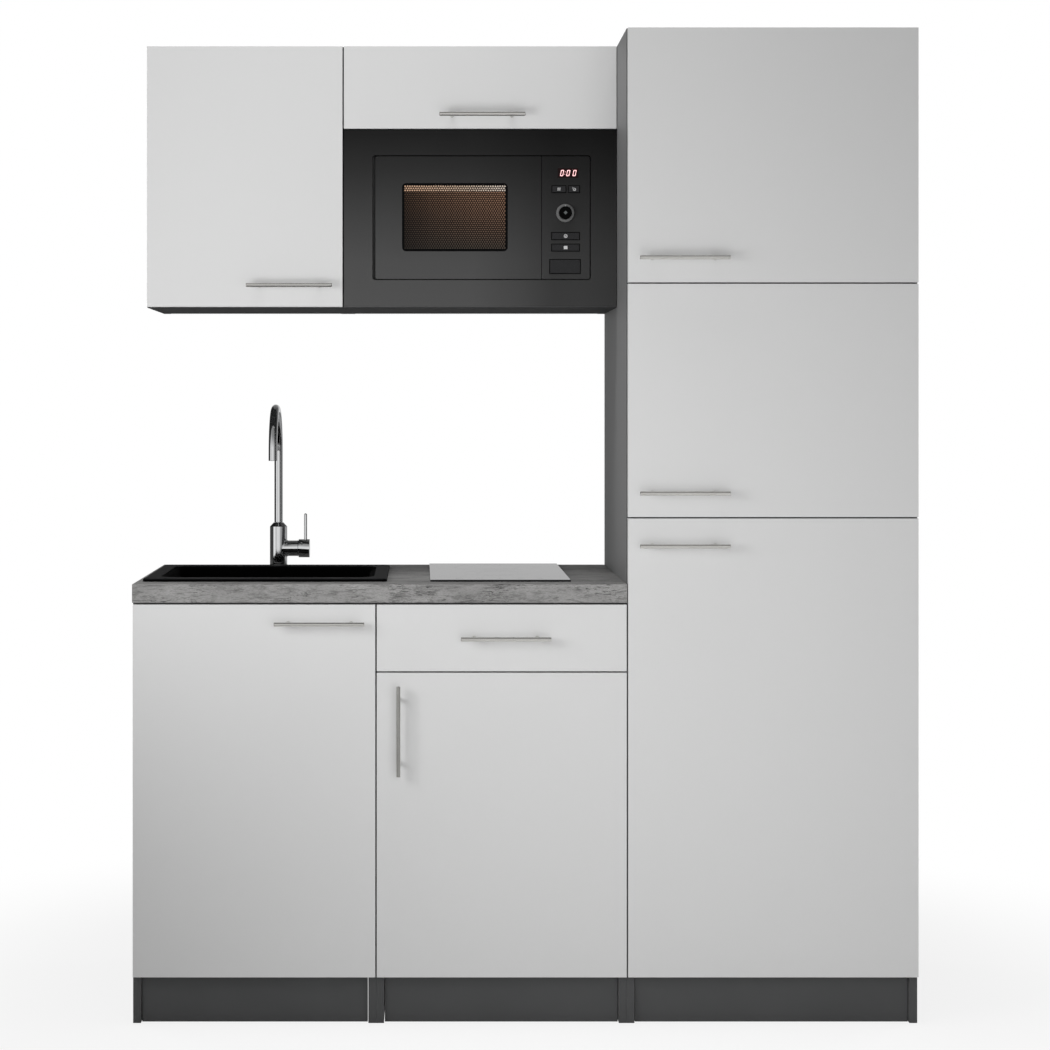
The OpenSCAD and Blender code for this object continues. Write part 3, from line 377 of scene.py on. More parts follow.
def front_laminate():
    """Light grey silk-matt melamine with the fine speckle of its printed paper."""
    f = Finish("front_laminate", roughness=0.42)
    speckle = f.noise(700, detail=3)
    f.tint(speckle, (0.608, 0.609, 0.608), (0.632, 0.633, 0.632))
    f.rough(speckle, 0.40, 0.47)
    f.bump(f.noise(900, detail=2), 0.02)
    return f


def carcass_laminate(name, low, high, gloss, sheen):
    """Anthracite melamine with a fine pearl grain, between two roughness levels."""
    f = Finish(name, roughness=low, gloss=gloss, Sheen_Weight=sheen, Sheen_Roughness=0.4)
    grain = f.noise(1400, detail=2)
    base = f.ramp(f.noise(5, detail=3), (0.3, (0.046, 0.047, 0.048)), (0.7, (0.054, 0.055, 0.056)))
    f.set("Base Color", f.mix(f.times(grain, 0.25), base, (0.085, 0.085, 0.086)))
    f.rough(grain, low, high)
    f.bump(grain, 0.03)
    return f


def worktop_laminate():
    """Grey concrete look: pale clouds under fine dark streaks drawn out along X."""
    f = Finish("worktop_laminate", roughness=0.6, gloss=0.35)
    clouds = f.noise(6, (1, 2.5, 2.5), 6, 0.6)
    base = f.ramp(clouds, (0.28, (0.195, 0.193, 0.190)), (0.5, (0.262, 0.259, 0.255)),
                  (0.72, (0.325, 0.322, 0.317)))
    streaks = f.noise(20, (1, 4.5, 5.5), 9, 0.72, 0.7)
    dark = f.ramp(streaks, (0.36, 1.0), (0.50, 0.0))
    base = f.mix(f.times(dark, 0.70), base, (0.075, 0.074, 0.073))
    patches = f.ramp(f.noise(8, (1, 2.5, 3), 4, 0.6), (0.42, 1.0), (0.56, 0.15))
    cracks = f.ramp(f.noise(62, (1, 5, 7), 8, 0.75, 1.0), (0.41, 1.0), (0.48, 0.0))
    base = f.mix(f.times(patches, cracks), base, (0.030, 0.030, 0.029))
    flecks = f.ramp(f.noise(130, (1, 4, 5), 5, 0.7, 0.4), (0.34, 1.0), (0.44, 0.0))
    base = f.mix(f.times(flecks, 0.6), base, (0.060, 0.059, 0.058))
    grain = f.noise(260, (1, 4, 4), 3, 0.6)
    base = f.mix(0.50, base, f.ramp(grain, (0.32, 0.38), (0.62, 0.64)), "OVERLAY")
    f.set("Base Color", base)
    f.rough(grain, 0.52, 0.68)
    f.bump(streaks, 0.10)
    return f


def drawer_board():
    """Light grey board with faint clouds across the drawer's depth."""
    f = Finish("drawer_board", roughness=0.5)
    f.tint(f.noise(14, (4, 1, 4), 4), (0.37, 0.37, 0.375), (0.43, 0.43, 0.435))
    f.bump(f.noise(800), 0.03)
    return f


def brushed(name, colour, roughness, stretch):
    """Steel brushed along one axis, the one with the smallest stretch."""
    f = Finish(name, colour, roughness, 1.0)
    lines = f.noise(250, stretch, 3)
    f.rough(lines, roughness - 0.06, roughness + 0.08)
    f.tint(lines, *shades(colour, 0.93, 1.05))
    f.bump(lines, 0.01)
    return f


def coated(name, colour, roughness, grain=500, depth=0.03, spread=0.12, **sockets):
    """An evenly coated or moulded surface with a fine texture."""
    f = Finish(name, colour, roughness, **sockets)
    n = f.noise(grain, detail=3)
    f.tint(n, *shades(colour, 1 - spread, 1 + spread))
    f.rough(n, roughness - 0.05, roughness + 0.06)
    f.bump(n, depth, 0.6)
    return f


def sink_coating():
    """Satin black coating with a fine grain; below the rim its colour is painted darker, as shade inside the
    bowl, and it is duller there.
    """
    f = Finish("sink_black", (0.005, 0.005, 0.0055), 0.60, gloss=0.08)
    n = f.noise(1300, detail=3)
    rim = f.ramp(n, (0.3, (0.0035, 0.0035, 0.0039)), (0.7, (0.0065, 0.0065, 0.0072)))
    below = f.math("LESS_THAN", f.axis("Z"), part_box("sink_bowl")[1].z - 2 * MM)
    # Painted shade: the colour below the rim is made near black, standing in for the shade inside the bowl.
    f.set("Base Color", f.mix(below, rim, (0.0006, 0.0006, 0.0006)))
    f.rough(f.math("ADD", f.times(n, 0.15), below, clamp=True), 0.57, 1.0)
    f.bump(n, 0.04, 0.6)
    return f


def chrome():
    """Polished chrome with faint smears."""
    f = Finish("tap_chrome", (0.80, 0.81, 0.82), 0.06, 1.0)
    smears = f.noise(40, detail=3)
    f.rough(smears, 0.04, 0.09)
    f.tint(smears, (0.78, 0.79, 0.80), (0.83, 0.835, 0.84))
    return f


def hob_glass():
    """Polished black glass ceramic with a trace of dust in its gloss."""
    f = Finish("hob_glass", (0.010, 0.010, 0.011), 0.05, gloss=0.45)
    dust = f.noise(30, detail=5)
    f.rough(dust, 0.03, 0.10)
    f.tint(dust, (0.008, 0.008, 0.009), (0.014, 0.014, 0.015), end=0.8)
    return f


def printed(name, grey, roughness=0.45):
    """Printed marks, slightly uneven like screen print."""
    f = Finish(name, (grey, grey, grey), roughness)
    f.tint(f.noise(900, detail=2), grey * 0.85, grey * 1.1)
    return f


def microwave_plastic(name):
    """Satin anthracite with painted light: its colour darkens towards the top and the right, standing in for
    reflected light that fades there.
    """
    f = Finish(name, roughness=0.40, gloss=0.05)
    n = f.noise(1100, detail=2)
    low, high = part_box("microwave_frame")
    rise = f.share("Z", low.z, high.z)
    across = f.share("X", low.x, high.x)
    # Painted reflection: lighter at the bottom and darker towards the top, then darker towards the right.
    base = f.ramp(rise, (0.0, 0.081), (0.25, 0.074), (0.5, 0.052), (0.77, 0.027), (1.0, 0.012))
    fall = f.ramp(across, (0.47, 1.0), (0.65, 0.78), (0.77, 0.56), (0.98, 0.62))
    base = f.mix(1.0, base, fall, "MULTIPLY")
    f.set("Base Color", f.mix(f.times(n, 0.14), base, (0.002, 0.002, 0.002)))
    f.rough(n, 0.36, 0.46)
    f.bump(n, 0.02)
    return f


def microwave_sheet():
    """Light coated sheet steel, painted dark grey where it shows around the door; that dark grey also stands
    in for the shade in the gap around the door.
    """
    f = Finish("microwave_sheet", roughness=0.40, gloss=0.3)
    n = f.noise(700, detail=3)
    # Dark grey near the front: partly the face's paint, partly painted shade for the gap around the door.
    front = f.math("LESS_THAN", f.axis("Y"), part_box("microwave_door")[1].y + 6 * MM)
    f.set("Base Color", f.mix(front, f.ramp(n, (0.3, 0.31), (0.7, 0.37)), (0.085, 0.085, 0.085)))
    f.rough(n, 0.36, 0.46)
    f.bump(n, 0.02)
    return f


SCREEN_PITCH = 4.4 * MM
SCREEN_BORDER = 5.0 * MM


def microwave_window():
    """Tinted glass over a screen of small holes, painted with light: a pale band for the lit ceiling at the
    top, a warm glow towards the upper right, and painted shade towards the left.
    """
    f = Finish("microwave_window", roughness=0.15, gloss=0.05)
    low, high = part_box("microwave_window")
    mid, half = (low + high) / 2, (high - low) / 2
    x, z = f.axis("X"), f.axis("Z")
    waves = []
    for angle in (30, 90, 150):
        c, s = cos(radians(angle)), sin(radians(angle))
        run = f.math("ADD", f.times(x, c * tau / SCREEN_PITCH),
                     f.times(z, s * tau / SCREEN_PITCH))
        waves.append(f.math("COSINE", run))
    dots = f.math("ADD", f.math("ADD", waves[0], waves[1]), waves[2])
    holes = f.ramp(f.times(f.math("ADD", dots, 1.5), 1 / 4.5), (0.26, 0.0), (0.42, 1.0))
    across, up = f.share("X", low.x, high.x), f.share("Z", low.z, high.z)
    # Painted light: the pane grows brighter and warmer towards the top and towards the upper right.
    body = f.ramp(up, (0.0, (0.060, 0.052, 0.042)), (0.45, (0.072, 0.050, 0.036)),
                  (0.80, (0.120, 0.072, 0.045)), (0.86, (0.135, 0.080, 0.050)))
    warm = f.times(f.times(across, up), 0.8)
    body = f.mix(warm, body, (0.300, 0.165, 0.105))
    # Painted shade: darker towards the left.
    body = f.mix(1.0, body, f.ramp(across, (0.0, 0.38), (0.3, 0.80), (0.7, 1.0)), "MULTIPLY")
    # Painted light: a pale band at the top for the lit ceiling inside.
    lit = f.ramp(across, (0.0, (0.55, 0.34, 0.22)), (0.6, (0.52, 0.39, 0.29)), (1.0, (0.70, 0.60, 0.52)))
    seen = f.mix(f.math("GREATER_THAN", up, 0.875), body, lit)
    seen = f.mix(holes, (0.005, 0.004, 0.004), seen)
    edge_x, edge_z = [f.math("SUBTRACT", f.math("ABSOLUTE", f.math("SUBTRACT", place, centre)),
                             reach - SCREEN_BORDER)
                      for place, centre, reach in ((x, mid.x, half.x), (z, mid.z, half.z))]
    border = f.math("GREATER_THAN", f.math("MAXIMUM", edge_x, edge_z), 0.0)
    f.set("Base Color", f.mix(border, seen, (0.001, 0.001, 0.001)))
    return f


def glowing(name, colour, strength):
    """A lit print, slightly uneven."""
    f = Finish(name, colour, 0.4, Emission_Strength=strength)
    f.set("Emission Color", f.ramp(f.noise(600), (0.2, *shades(colour, 0.9)), (0.8, colour)))
    return f


def clear_glass(name, colour):
    f = Finish(name, colour, 0.08, Transmission_Weight=0.85, IOR=1.5)
    f.rough(f.noise(60, detail=3), 0.05, 0.14)
    return f


SATIN = (0.74, 0.73, 0.70)
FRONT = front_laminate()
CARCASS = carcass_laminate("carcass_laminate", 0.46, 0.56, 0.5, 0.17)
HUNG_CARCASS = carcass_laminate("carcass_laminate_hung", 0.70, 0.80, 0.1, 0.0)
WORKTOP = worktop_laminate()
DRAWER = drawer_board()
HANDLE_X = brushed("handle_steel", SATIN, 0.20, (0.05, 1, 1))
HANDLE_Z = brushed("handle_steel_upright", SATIN, 0.20, (1, 1, 0.05))
HINGE = brushed("hinge_steel", (0.62, 0.61, 0.59), 0.32, (1, 0.2, 1))
RUNNER = coated("runner_steel", (0.70, 0.70, 0.69), 0.38)
SINK = sink_coating()
PIPE = coated("waste_plastic", (0.72, 0.72, 0.71), 0.42, 300, 0.02, 0.04)
CHROME = chrome()
COPPER = brushed("tail_copper", (0.72, 0.42, 0.28), 0.30, (1, 1, 0.05))
HOB = hob_glass()
HOB_PRINT = printed("hob_print", 0.16, 0.10)
HOB_CASE = coated("hob_case", (0.020, 0.020, 0.020), 0.5)
MW_FRAME = microwave_plastic("microwave_frame")
MW_FRONT = microwave_plastic("microwave_front")
MW_SHEET = microwave_sheet()
MW_WINDOW = microwave_window()
MW_BUTTON = coated("button_plastic", (0.026, 0.026, 0.027), 0.36, 1200, 0.03, 0.3, gloss=0.05)
KNOB_RING = coated("knob_ring", (0.12, 0.12, 0.12), 0.28, 1200)
KNOB_GRIP = coated("knob_grip", (0.002, 0.002, 0.002), 0.30, 1200, gloss=0.02)
KNOB_MARK = coated("knob_mark", (0.10, 0.11, 0.11), 0.35, 1200)
SYMBOL = printed("symbol_print", 0.55)
DISPLAY = coated("display_glass", (0.008, 0.002, 0.002), 0.12, 200, gloss=0.12)
DIGITS = glowing("display_digits", (1.0, 0.66, 0.66), 1.0)
GLOW = glowing("display_glow", (0.30, 0.01, 0.02), 0.6)
TURNTABLE = clear_glass("turntable_glass", (0.80, 0.90, 0.90))
RING_PLASTIC = coated("ring_plastic", (0.70, 0.70, 0.68), 0.45)
# Painted shade: a near-black finish for marks drawn where recesses, holes and gaps would lie in shade, such
# as screw drives, plug perforations, the aerator's mouth, button surrounds and pin borings.
PAINTED_SHADE = coated("painted_shade", (0.003, 0.003, 0.003), 0.6, gloss=0.05)


# CAD nodes that stay, with their finish and softened edges

WELD_GAP = 0.02 * MM
EDGE_ANGLE = radians(40)
BUTTONS = ("button_upper_left", "button_upper_right", "button_wide_upper", "button_wide_lower",
           "button_door_release")


def keep(finish, edge, *names, segments=2):
    """Gives CAD nodes a finish and rounds their edges by a width in millimetres."""
    for name in names:
        node = nodes[name]
        node.data.materials.clear()
        node.data.materials.append(finish.material)
        modify(node, "WELD", "weld", merge_threshold=WELD_GAP)
        modify(node, "BEVEL", "edges", width=edge * MM, segments=segments, limit_method="ANGLE",
               angle_limit=EDGE_ANGLE, harden_normals=True)


def fill_corners(name, radius, near=12):
    """Rounds the corners of a frame's opening, near those of the door and panel inside it."""
    node = nodes[name]
    door_low, door_high = box("microwave_door")
    panel_high = box("microwave_panel")[1]
    where = places(name)
    weights = node.data.attributes.new("bevel_weight_edge", "FLOAT", "EDGE")
    for e in node.data.edges:
        a, b = [where[i] for i in e.vertices]
        straight = (a - b).cross(Y).length < 0.01
        corner_x = min(abs(a.x - door_low.x), abs(a.x - panel_high.x)) < near
        corner_z = min(abs(a.z - door_low.z), abs(a.z - door_high.z)) < near
        weights.data[e.index].value = 1.0 if straight and corner_x and corner_z else 0.0
    modify(node, "WELD", "weld_first", merge_threshold=WELD_GAP)
    modify(node, "BEVEL", "corners", width=radius * MM, segments=6, limit_method="WEIGHT")


keep(FRONT, 0.9, "sink_door", "base_door", "drawer_front", "tall_lower_door", "tall_middle_door",
     "tall_upper_door", "wall_door", "flap_door")
keep(CARCASS, 0.5, "sink_base_sides", "sink_base_boards", "drawer_base_sides", "drawer_base_boards",
     "tall_sides", "tall_boards", "loose_shelves", "back_panels", "plinth_boards")
keep(HUNG_CARCASS, 0.5, "wall_cabinet_sides", "wall_cabinet_boards", "microwave_cabinet_sides",
     "microwave_cabinet_boards")
keep(WORKTOP, 1.2, "worktop")
keep(DRAWER, 0.6, "drawer_box")
keep(HINGE, 0.3, "shelf_pins", "wall_hangers")
keep(RUNNER, 0.3, "drawer_runners", "drawer_slides")
keep(HOB, 0.8, "hob_glass")
keep(HOB_CASE, 1.0, "hob_body")
fill_corners("microwave_frame", 6)
keep(MW_FRAME, 0.8, "microwave_frame")
keep(MW_FRONT, 0.8, "microwave_door", "microwave_panel")
keep(MW_WINDOW, 0.3, "microwave_window")
keep(MW_SHEET, 0.3, "microwave_case", "microwave_cavity")
keep(MW_BUTTON, 0.5, *BUTTONS)
keep(DISPLAY, 0.2, "microwave_display")
keep(TURNTABLE, 0.6, "turntable")
keep(RING_PLASTIC, 0.3, "roller_ring")
keep(CHROME, 0.5, "tap_cap", segments=3)


# Handles and hinge cups

POST_PITCH = 128
POST_R = 3.75
POST_FOOT_R = 4.4


def handle(piece, node, face_y):
    """A bar on two posts, where the CAD node has its handle in front of the face."""
    low, high = box_where(node, lambda p: p.y < face_y - 1)
    size = high - low
    length, r = max(size.x, size.z), min(size.x, size.z) / 2
    centre = Vector(((low.x + high.x) / 2, low.y + r, (low.z + high.z) / 2))
    way = Z if size.z > size.x else X
    half, end = length / 2, 0.7
    piece.turned([(0, -half), (r - end, -half), (r, end - half), (r, half - end), (r - end, half), (0, half)],
                 along(way, centre))
    reach = face_y - centre.y - r / 2
    post = [(0, 0), (POST_FOOT_R, 0), (POST_FOOT_R, 1.2), (POST_R, 2.0), (POST_R, reach), (0, reach)]
    for side in SIDES:
        foot = centre + side * way * POST_PITCH / 2
        foot.y = face_y
        piece.turned(post, along(-Y, foot), steps=28)


CUP_R = 17.5
CUP_IN = 22.5
CUP_DEPTH = 11.5
CUP_WALL = 1.0
CUP_RIM = 0.8
CUP_GAP = 5
EAR_OFFSET = 24
FRONT_T = box("sink_door")[1].y - FACE_Y


def cup(piece, place):
    """A hinge cup with its screwed ears, in a frame from hinge_frames."""
    piece.turned([(0, -CUP_DEPTH), (CUP_R, -CUP_DEPTH), (CUP_R, 0), (CUP_R + 1, 0), (CUP_R + 1, CUP_RIM),
                  (CUP_R - CUP_WALL, CUP_RIM), (CUP_R - CUP_WALL, CUP_WALL - CUP_DEPTH),
                  (0, CUP_WALL - CUP_DEPTH)], place @ at(CUP_IN, FRONT_T, 0) @ along(Y))
    for side in SIDES:
        ear = EAR_OFFSET * side
        piece.block((CUP_IN + 3, FRONT_T, ear - 6), (CUP_IN + 16, FRONT_T + CUP_RIM, ear + 6), 0.3, place)
        screw(piece, place @ at(CUP_IN + 9.5, FRONT_T + CUP_RIM, ear) @ along(Y), 3.2)


def hinge_frames(door, fittings, face_y, side):
    """Local frames of a door's hinges: X into the door, Y to the back, Z along the hinge axis."""
    low, high = box(door)
    cups = [p for p in places(fittings) if p.y > face_y + FRONT_T / 4]
    if side == "top":
        return [axes(Vector(((a + b) / 2, face_y, high.z)), -Z, Y, X)
                for a, b in runs([c.x for c in cups], CUP_GAP)]
    edge, into = (low.x, X) if side == "left" else (high.x, -X)
    return [axes(Vector((edge, face_y, (a + b) / 2)), into, Y, into.cross(Y))
            for a, b in runs([c.z for c in cups], CUP_GAP)]


# Door, its fittings, its body, the plane of its front and its hinge side
DOORS = [("sink_door", "sink_door_fittings", "sink_door", FACE_Y, "left"),
         ("base_door", "base_door_fittings", "base_door", FACE_Y, "right"),
         ("tall_lower_door", "tall_lower_fittings", "tall_lower_door", FACE_Y, "right"),
         ("tall_middle_door", "tall_middle_fittings", "tall_middle_door", FACE_Y, "right"),
         ("tall_upper_door", "tall_upper_fittings", "tall_upper_door", FACE_Y, "right"),
         ("wall_door", "wall_door_fittings", "wall_door", WALL_FACE_Y, "left"),
         ("flap_door", "flap_fittings", "flap", WALL_FACE_Y, "top")]

for door, fittings, body, face_y, side in DOORS:
    piece = Piece(fittings + "_dressed")
    handle(piece, fittings, face_y)
    for place in hinge_frames(door, fittings, face_y, side):
        cup(piece, place)
    steel = HANDLE_Z if door == "base_door" else HANDLE_X
    piece.done(body, "handle_steel", steel, PAINTED_SHADE, replaces=[fittings])

piece = Piece("drawer_handle_dressed")
handle(piece, "drawer_handle", FACE_Y)
piece.done("drawer", "handle_steel", HANDLE_X, replaces=["drawer_handle"])


# Hinge arms on the cabinets

ARM_TIP = 14.8
ARM_L = 70
ARM_W = 15
ARM_H = 13
PLATE_IN = 14.5
PLATE_T = 2.5
PLATE_SIDE = 46
PLATE_Y = ARM_TIP + 40


def arm(piece, place):
    """A mounting plate with two screws, and the hooded arm with its adjusting screws."""
    base, wing = PLATE_IN + PLATE_T, PLATE_SIDE / 2
    for half_y, half_z in ((9, wing), (wing, 7.5)):
        piece.block((PLATE_IN, PLATE_Y - half_y, -half_z), (base, PLATE_Y + half_y, half_z), 0.8, place)
    for side in SIDES:
        screw(piece, place @ at(base - 0.2, PLATE_Y, side * 16) @ along(X))
    top, half = base + ARM_W, ARM_H / 2
    piece.block((base, ARM_TIP + 12, -half), (top - 2, ARM_TIP + ARM_L, half), 1.6, place)
    piece.block((base + 3, ARM_TIP, 1.5 - half), (top - 2.5, ARM_TIP + 16, half - 1.5), 1.6, place)
    for y in (26, 44, 60):
        screw(piece, place @ at(top - 2.2, ARM_TIP + y, 0) @ along(X), 3.0)


piece = Piece("hinge_arms_dressed")
for door, fittings, body, face_y, side in DOORS:
    for place in hinge_frames(door, fittings, face_y, side):
        arm(piece, place)
piece.done("cabinets", "hinge_steel", HINGE, PAINTED_SHADE, replaces=["hinge_arms"])


# Sink

SINK_LOW, SINK_HIGH = box("sink_bowl")
BOWL_LOW, BOWL_HIGH = box_where("sink_bowl", lambda p: p.z < WORKTOP_LOW.z)
SHEET = 1.6
RECESS_DROP = 3.0
SINK_RIM = 28
SINK_R = 12
SINK_EDGE = 2.2
BOWL_R = 28
BOWL_FILLET = 22
BOWL_DRAFT = 1.6
DRAIN_R = 45
BOWL_FLOOR = BOWL_LOW.z + SHEET
SINK_MID = middle("sink_bowl")
OVER_DRAIN = at(SINK_MID.x, SINK_MID.y, 0)


def round_rect(w, d, r, z, steps=10):
    """Points of a rounded rectangle at height z, along its corners and its sides."""
    arcs = []
    for k, (sx, sy) in enumerate(((1, 1), (-1, 1), (-1, -1), (1, -1))):
        turns = [pi / 2 * (k + i / steps) for i in range(steps + 1)]
        arcs.append([Vector((*polar(r, a, sx * (w / 2 - r), sy * (d / 2 - r)), z)) for a in turns])
    points = []
    for arc, following in zip(arcs, arcs[1:] + arcs[:1]):
        points += arc + [arc[-1].lerp(following[0], i / steps) for i in range(1, steps)]
    return points


def quarter(steps, first=0):
    """Sine and cosine of angles from 0 to 90 degrees."""
    turns = [pi / 2 * k / steps for k in range(first, steps + 1)]
    return [(sin(a), cos(a)) for a in turns]


def sink():
    """The sink as one closed sheet, from the rim's outer edge down to the drain and back underneath."""
    w, d = SINK_HIGH.x - SINK_LOW.x, SINK_HIGH.y - SINK_LOW.y
    bw, bd = BOWL_HIGH.x - BOWL_LOW.x - 2 * SHEET, BOWL_HIGH.y - BOWL_LOW.y - 2 * SHEET
    lip = (w - 2 * SINK_RIM - bw) / 2
    rim, recess, bowl = (w, d, SINK_R), (bw + 2 * lip, bd + 2 * lip, BOWL_R + lip), (bw, bd, BOWL_R)
    top, ledge = SINK_HIGH.z, SINK_HIGH.z - RECESS_DROP
    rings = []

    def ring(outline, grow, z, turn=1.0):
        """Adds an outline grown by a distance, its corner radius by a share of that, at height z."""
        w, d, r = outline
        rings.append(round_rect(w + 2 * grow, d + 2 * grow, max(r + turn * grow, 1), z))

    ring(rim, 0, WORKTOP_HIGH.z)
    for s, c in quarter(4):
        ring(rim, -SINK_EDGE * (1 - c), top - SINK_EDGE + SINK_EDGE * s)
    for grow, z in ((1, top), (0.3, top - 0.4), (-0.2, ledge + 0.4), (-0.8, ledge)):
        ring(recess, grow, z)
    shoulder = lip - 1.6
    for s, c in quarter(6, 1):
        ring(bowl, shoulder * (1 - s), ledge - shoulder * (1 - c))
    for s, c in quarter(7):
        ring(bowl, -BOWL_DRAFT - BOWL_FILLET * (1 - c), BOWL_FLOOR + BOWL_FILLET * (1 - s), 0.5)
    flat = rings[-1]
    for r, z in ((DRAIN_R + 12, BOWL_FLOOR), (DRAIN_R, BOWL_FLOOR), (DRAIN_R, BOWL_LOW.z)):
        rings.append([Vector((r * p.x, r * p.y, 0)) / hypot(p.x, p.y) + z * Z for p in flat])
    ring(bowl, -BOWL_FILLET, BOWL_LOW.z, 0)
    ring(bowl, SHEET, BOWL_LOW.z + BOWL_FILLET)
    ring(bowl, SHEET, ledge - SHEET - shoulder)
    ring(recess, SHEET, ledge - SHEET)
    ring(recess, SHEET, top - SHEET)
    ring(rim, -SHEET, top - SHEET)
    ring(rim, -SHEET, WORKTOP_HIGH.z)

    piece = Piece("sink_dressed")
    count = len(rings[0])
    rows = [[k * count + i for i in range(count)] for k in range(len(rings))]
    piece.skin([v for r in rings for v in r], rows + rows[:1], OVER_DRAIN)
    piece.done("cabinets", "sink_black", SINK, replaces=["sink_bowl"], sharp=50)


sink()

WASTE_LOW, WASTE_HIGH = box("sink_waste")
PLUG_LOW, PLUG_HIGH = box("sink_plug")
POT_R = 44
POT_WALL = 2
POT_LOW = PLUG_LOW.z - 3.5
TRAP_R = 32
TRAP_H = 110
PIPE_R = 20


def strainer_pot():
    """The steel pot that hangs in the drain, with its flange on the bowl's floor."""
    flange_r = (WASTE_HIGH.x - WASTE_LOW.x) / 2
    top, inner = WASTE_HIGH.z, POT_R - POT_WALL
    pot = Piece("strainer_pot")
    pot.turned([(0, POT_LOW), (POT_R - 4, POT_LOW), (POT_R, POT_LOW + 4), (POT_R, BOWL_FLOOR),
                (flange_r, BOWL_FLOOR), (flange_r - 0.5, top - 0.7), (flange_r - 4, top),
                (POT_R, top - 0.2), (inner, top - 2), (inner, POT_LOW + 5), (inner - 4, POT_LOW + POT_WALL),
                (0, POT_LOW + POT_WALL)], OVER_DRAIN, steps=56)
    pot.done("cabinets", "hinge_steel", HINGE, replaces=["sink_waste"])


def ribs(piece, place, r, low, high, count, half=1):
    """Grip ribs around a nut or cup that stands along local Z."""
    for k in range(count):
        piece.block((-half, -half, low), (0.5, half, high), 0.3,
                    place @ turn_z(tau * k / count) @ at(r, 0, 0))


def bottle_trap():
    """The white bottle trap with its three ribbed slip nuts and the outlet pipe."""
    low, top = WASTE_LOW.z, WASTE_LOW.z + TRAP_H
    trap = Piece("bottle_trap")
    trap.turned([(0, low), (TRAP_R - 8, low), (TRAP_R - 4, low + 3), (TRAP_R, low + 3), (TRAP_R, low + 24),
                 (TRAP_R - 3, low + 26), (TRAP_R - 3, top - 10), (TRAP_R - 1, top - 6), (TRAP_R - 8, top),
                 (0, top)], OVER_DRAIN)
    ribs(trap, OVER_DRAIN, TRAP_R - 0.6, low + 5, low + 22, 18, 1.2)
    trap.turned([(0, top - 2), (PIPE_R + 6, top - 2), (PIPE_R + 6, top + 12), (PIPE_R, top + 15),
                 (PIPE_R, POT_LOW - 16), (PIPE_R + 7, POT_LOW - 13), (PIPE_R + 7, POT_LOW + 0.5),
                 (0, POT_LOW + 0.5)], OVER_DRAIN)
    for z, grow in ((top + 1, 5.6), (POT_LOW - 11, 6.6)):
        ribs(trap, OVER_DRAIN, PIPE_R + grow, z, z + 9, 14)
    outlet = along(Y, (SINK_MID.x, SINK_MID.y, top - 2 * PIPE_R))
    nut_r, inner, end = PIPE_R + 4.5, PIPE_R - POT_WALL, WASTE_HIGH.y - SINK_MID.y
    trap.turned([(0, TRAP_R - 10), (nut_r, TRAP_R - 6), (nut_r, TRAP_R + 12), (PIPE_R, TRAP_R + 15),
                 (PIPE_R, end - 1), (PIPE_R - 0.6, end), (inner, end), (inner, TRAP_R + 20),
                 (0, TRAP_R + 20)], outlet)
    ribs(trap, outlet, nut_r - 0.4, TRAP_R - 4, TRAP_R + 10, 14)
    trap.done("cabinets", "waste_plastic", PIPE, replaces=["sink_waste"])


def plug():
    """The basket plug: a dish with a stem and a round knob, whose perforations are thin dark discs of painted
    shade rather than holes.
    """
    centre = middle("sink_plug")
    r, low, high = (PLUG_HIGH.x - PLUG_LOW.x) / 2, PLUG_LOW.z, PLUG_HIGH.z
    basket, wall, stem_r, knob_r = low + 33, 1.2, 4, 10
    piece = Piece("sink_plug_dressed")
    piece.turned([(0, low), (r - 5, low), (r, low + 5), (r, basket - 0.6), (r - 0.6, basket),
                  (r - wall, basket - 0.6), (r - wall, low + 6), (r - 6, low + wall), (stem_r, low + wall),
                  (stem_r, high - 5), (knob_r - 1, high - 4), (knob_r, high - 2.4),
                  (knob_r - 1.5, high - 0.6), (0, high)], at(centre.x, centre.y, 0), steps=48)
    # Painted shade: the perforations are thin dark discs in the second material.
    for ring_r, count in ((12, 10), (19, 16), (26, 22), (33, 28)):
        for k in range(count):
            x, y = polar(ring_r, tau * k / count, centre.x, centre.y)
            piece.rod(1.5, low + wall - 0.1, low + wall + 0.05, at(x, y, 0), 1, 10)
    piece.done("sink_plug", "hinge_steel", HINGE, PAINTED_SHADE, replaces=["sink_plug"])


strainer_pot()
bottle_trap()
plug()


# Tap

COLUMN_LOW, COLUMN_HIGH = box_where("tap_body", lambda p: p.z > WORKTOP_HIGH.z + 75)
SPOUT_LOW, SPOUT_HIGH = box("tap_spout")
TAP_X, TAP_Y = ((COLUMN_LOW + COLUMN_HIGH) / 2).xy
TAP_AXIS = at(TAP_X, TAP_Y, 0)
BODY_R = (COLUMN_HIGH.x - COLUMN_LOW.x) / 2
SPOUT_R = 9.5
SPOUT_PLUG_R = 7
ARM_R = 17.5
TAP_GAP = 0.3
SHOULDER_H = 9
JOINT_FILLET = 2.6
SHANK_R = 16
NUT_R = 20.5
NUT_H = 10
TAIL_R = 5
TAIL_PITCH = 18


def union(a, b):
    """Joins object b to object a with a boolean, removes both and gives the result in metres."""
    modify(a, "BOOLEAN", "join", operation="UNION", solver="EXACT", object=b)
    bpy.context.view_layer.update()
    mesh = bpy.data.meshes.new_from_object(a.evaluated_get(bpy.context.evaluated_depsgraph_get()))
    part = bmesh.new()
    part.from_mesh(mesh)
    bpy.data.meshes.remove(mesh)
    for thing in (a, b):
        bpy.data.objects.remove(thing)
    return part


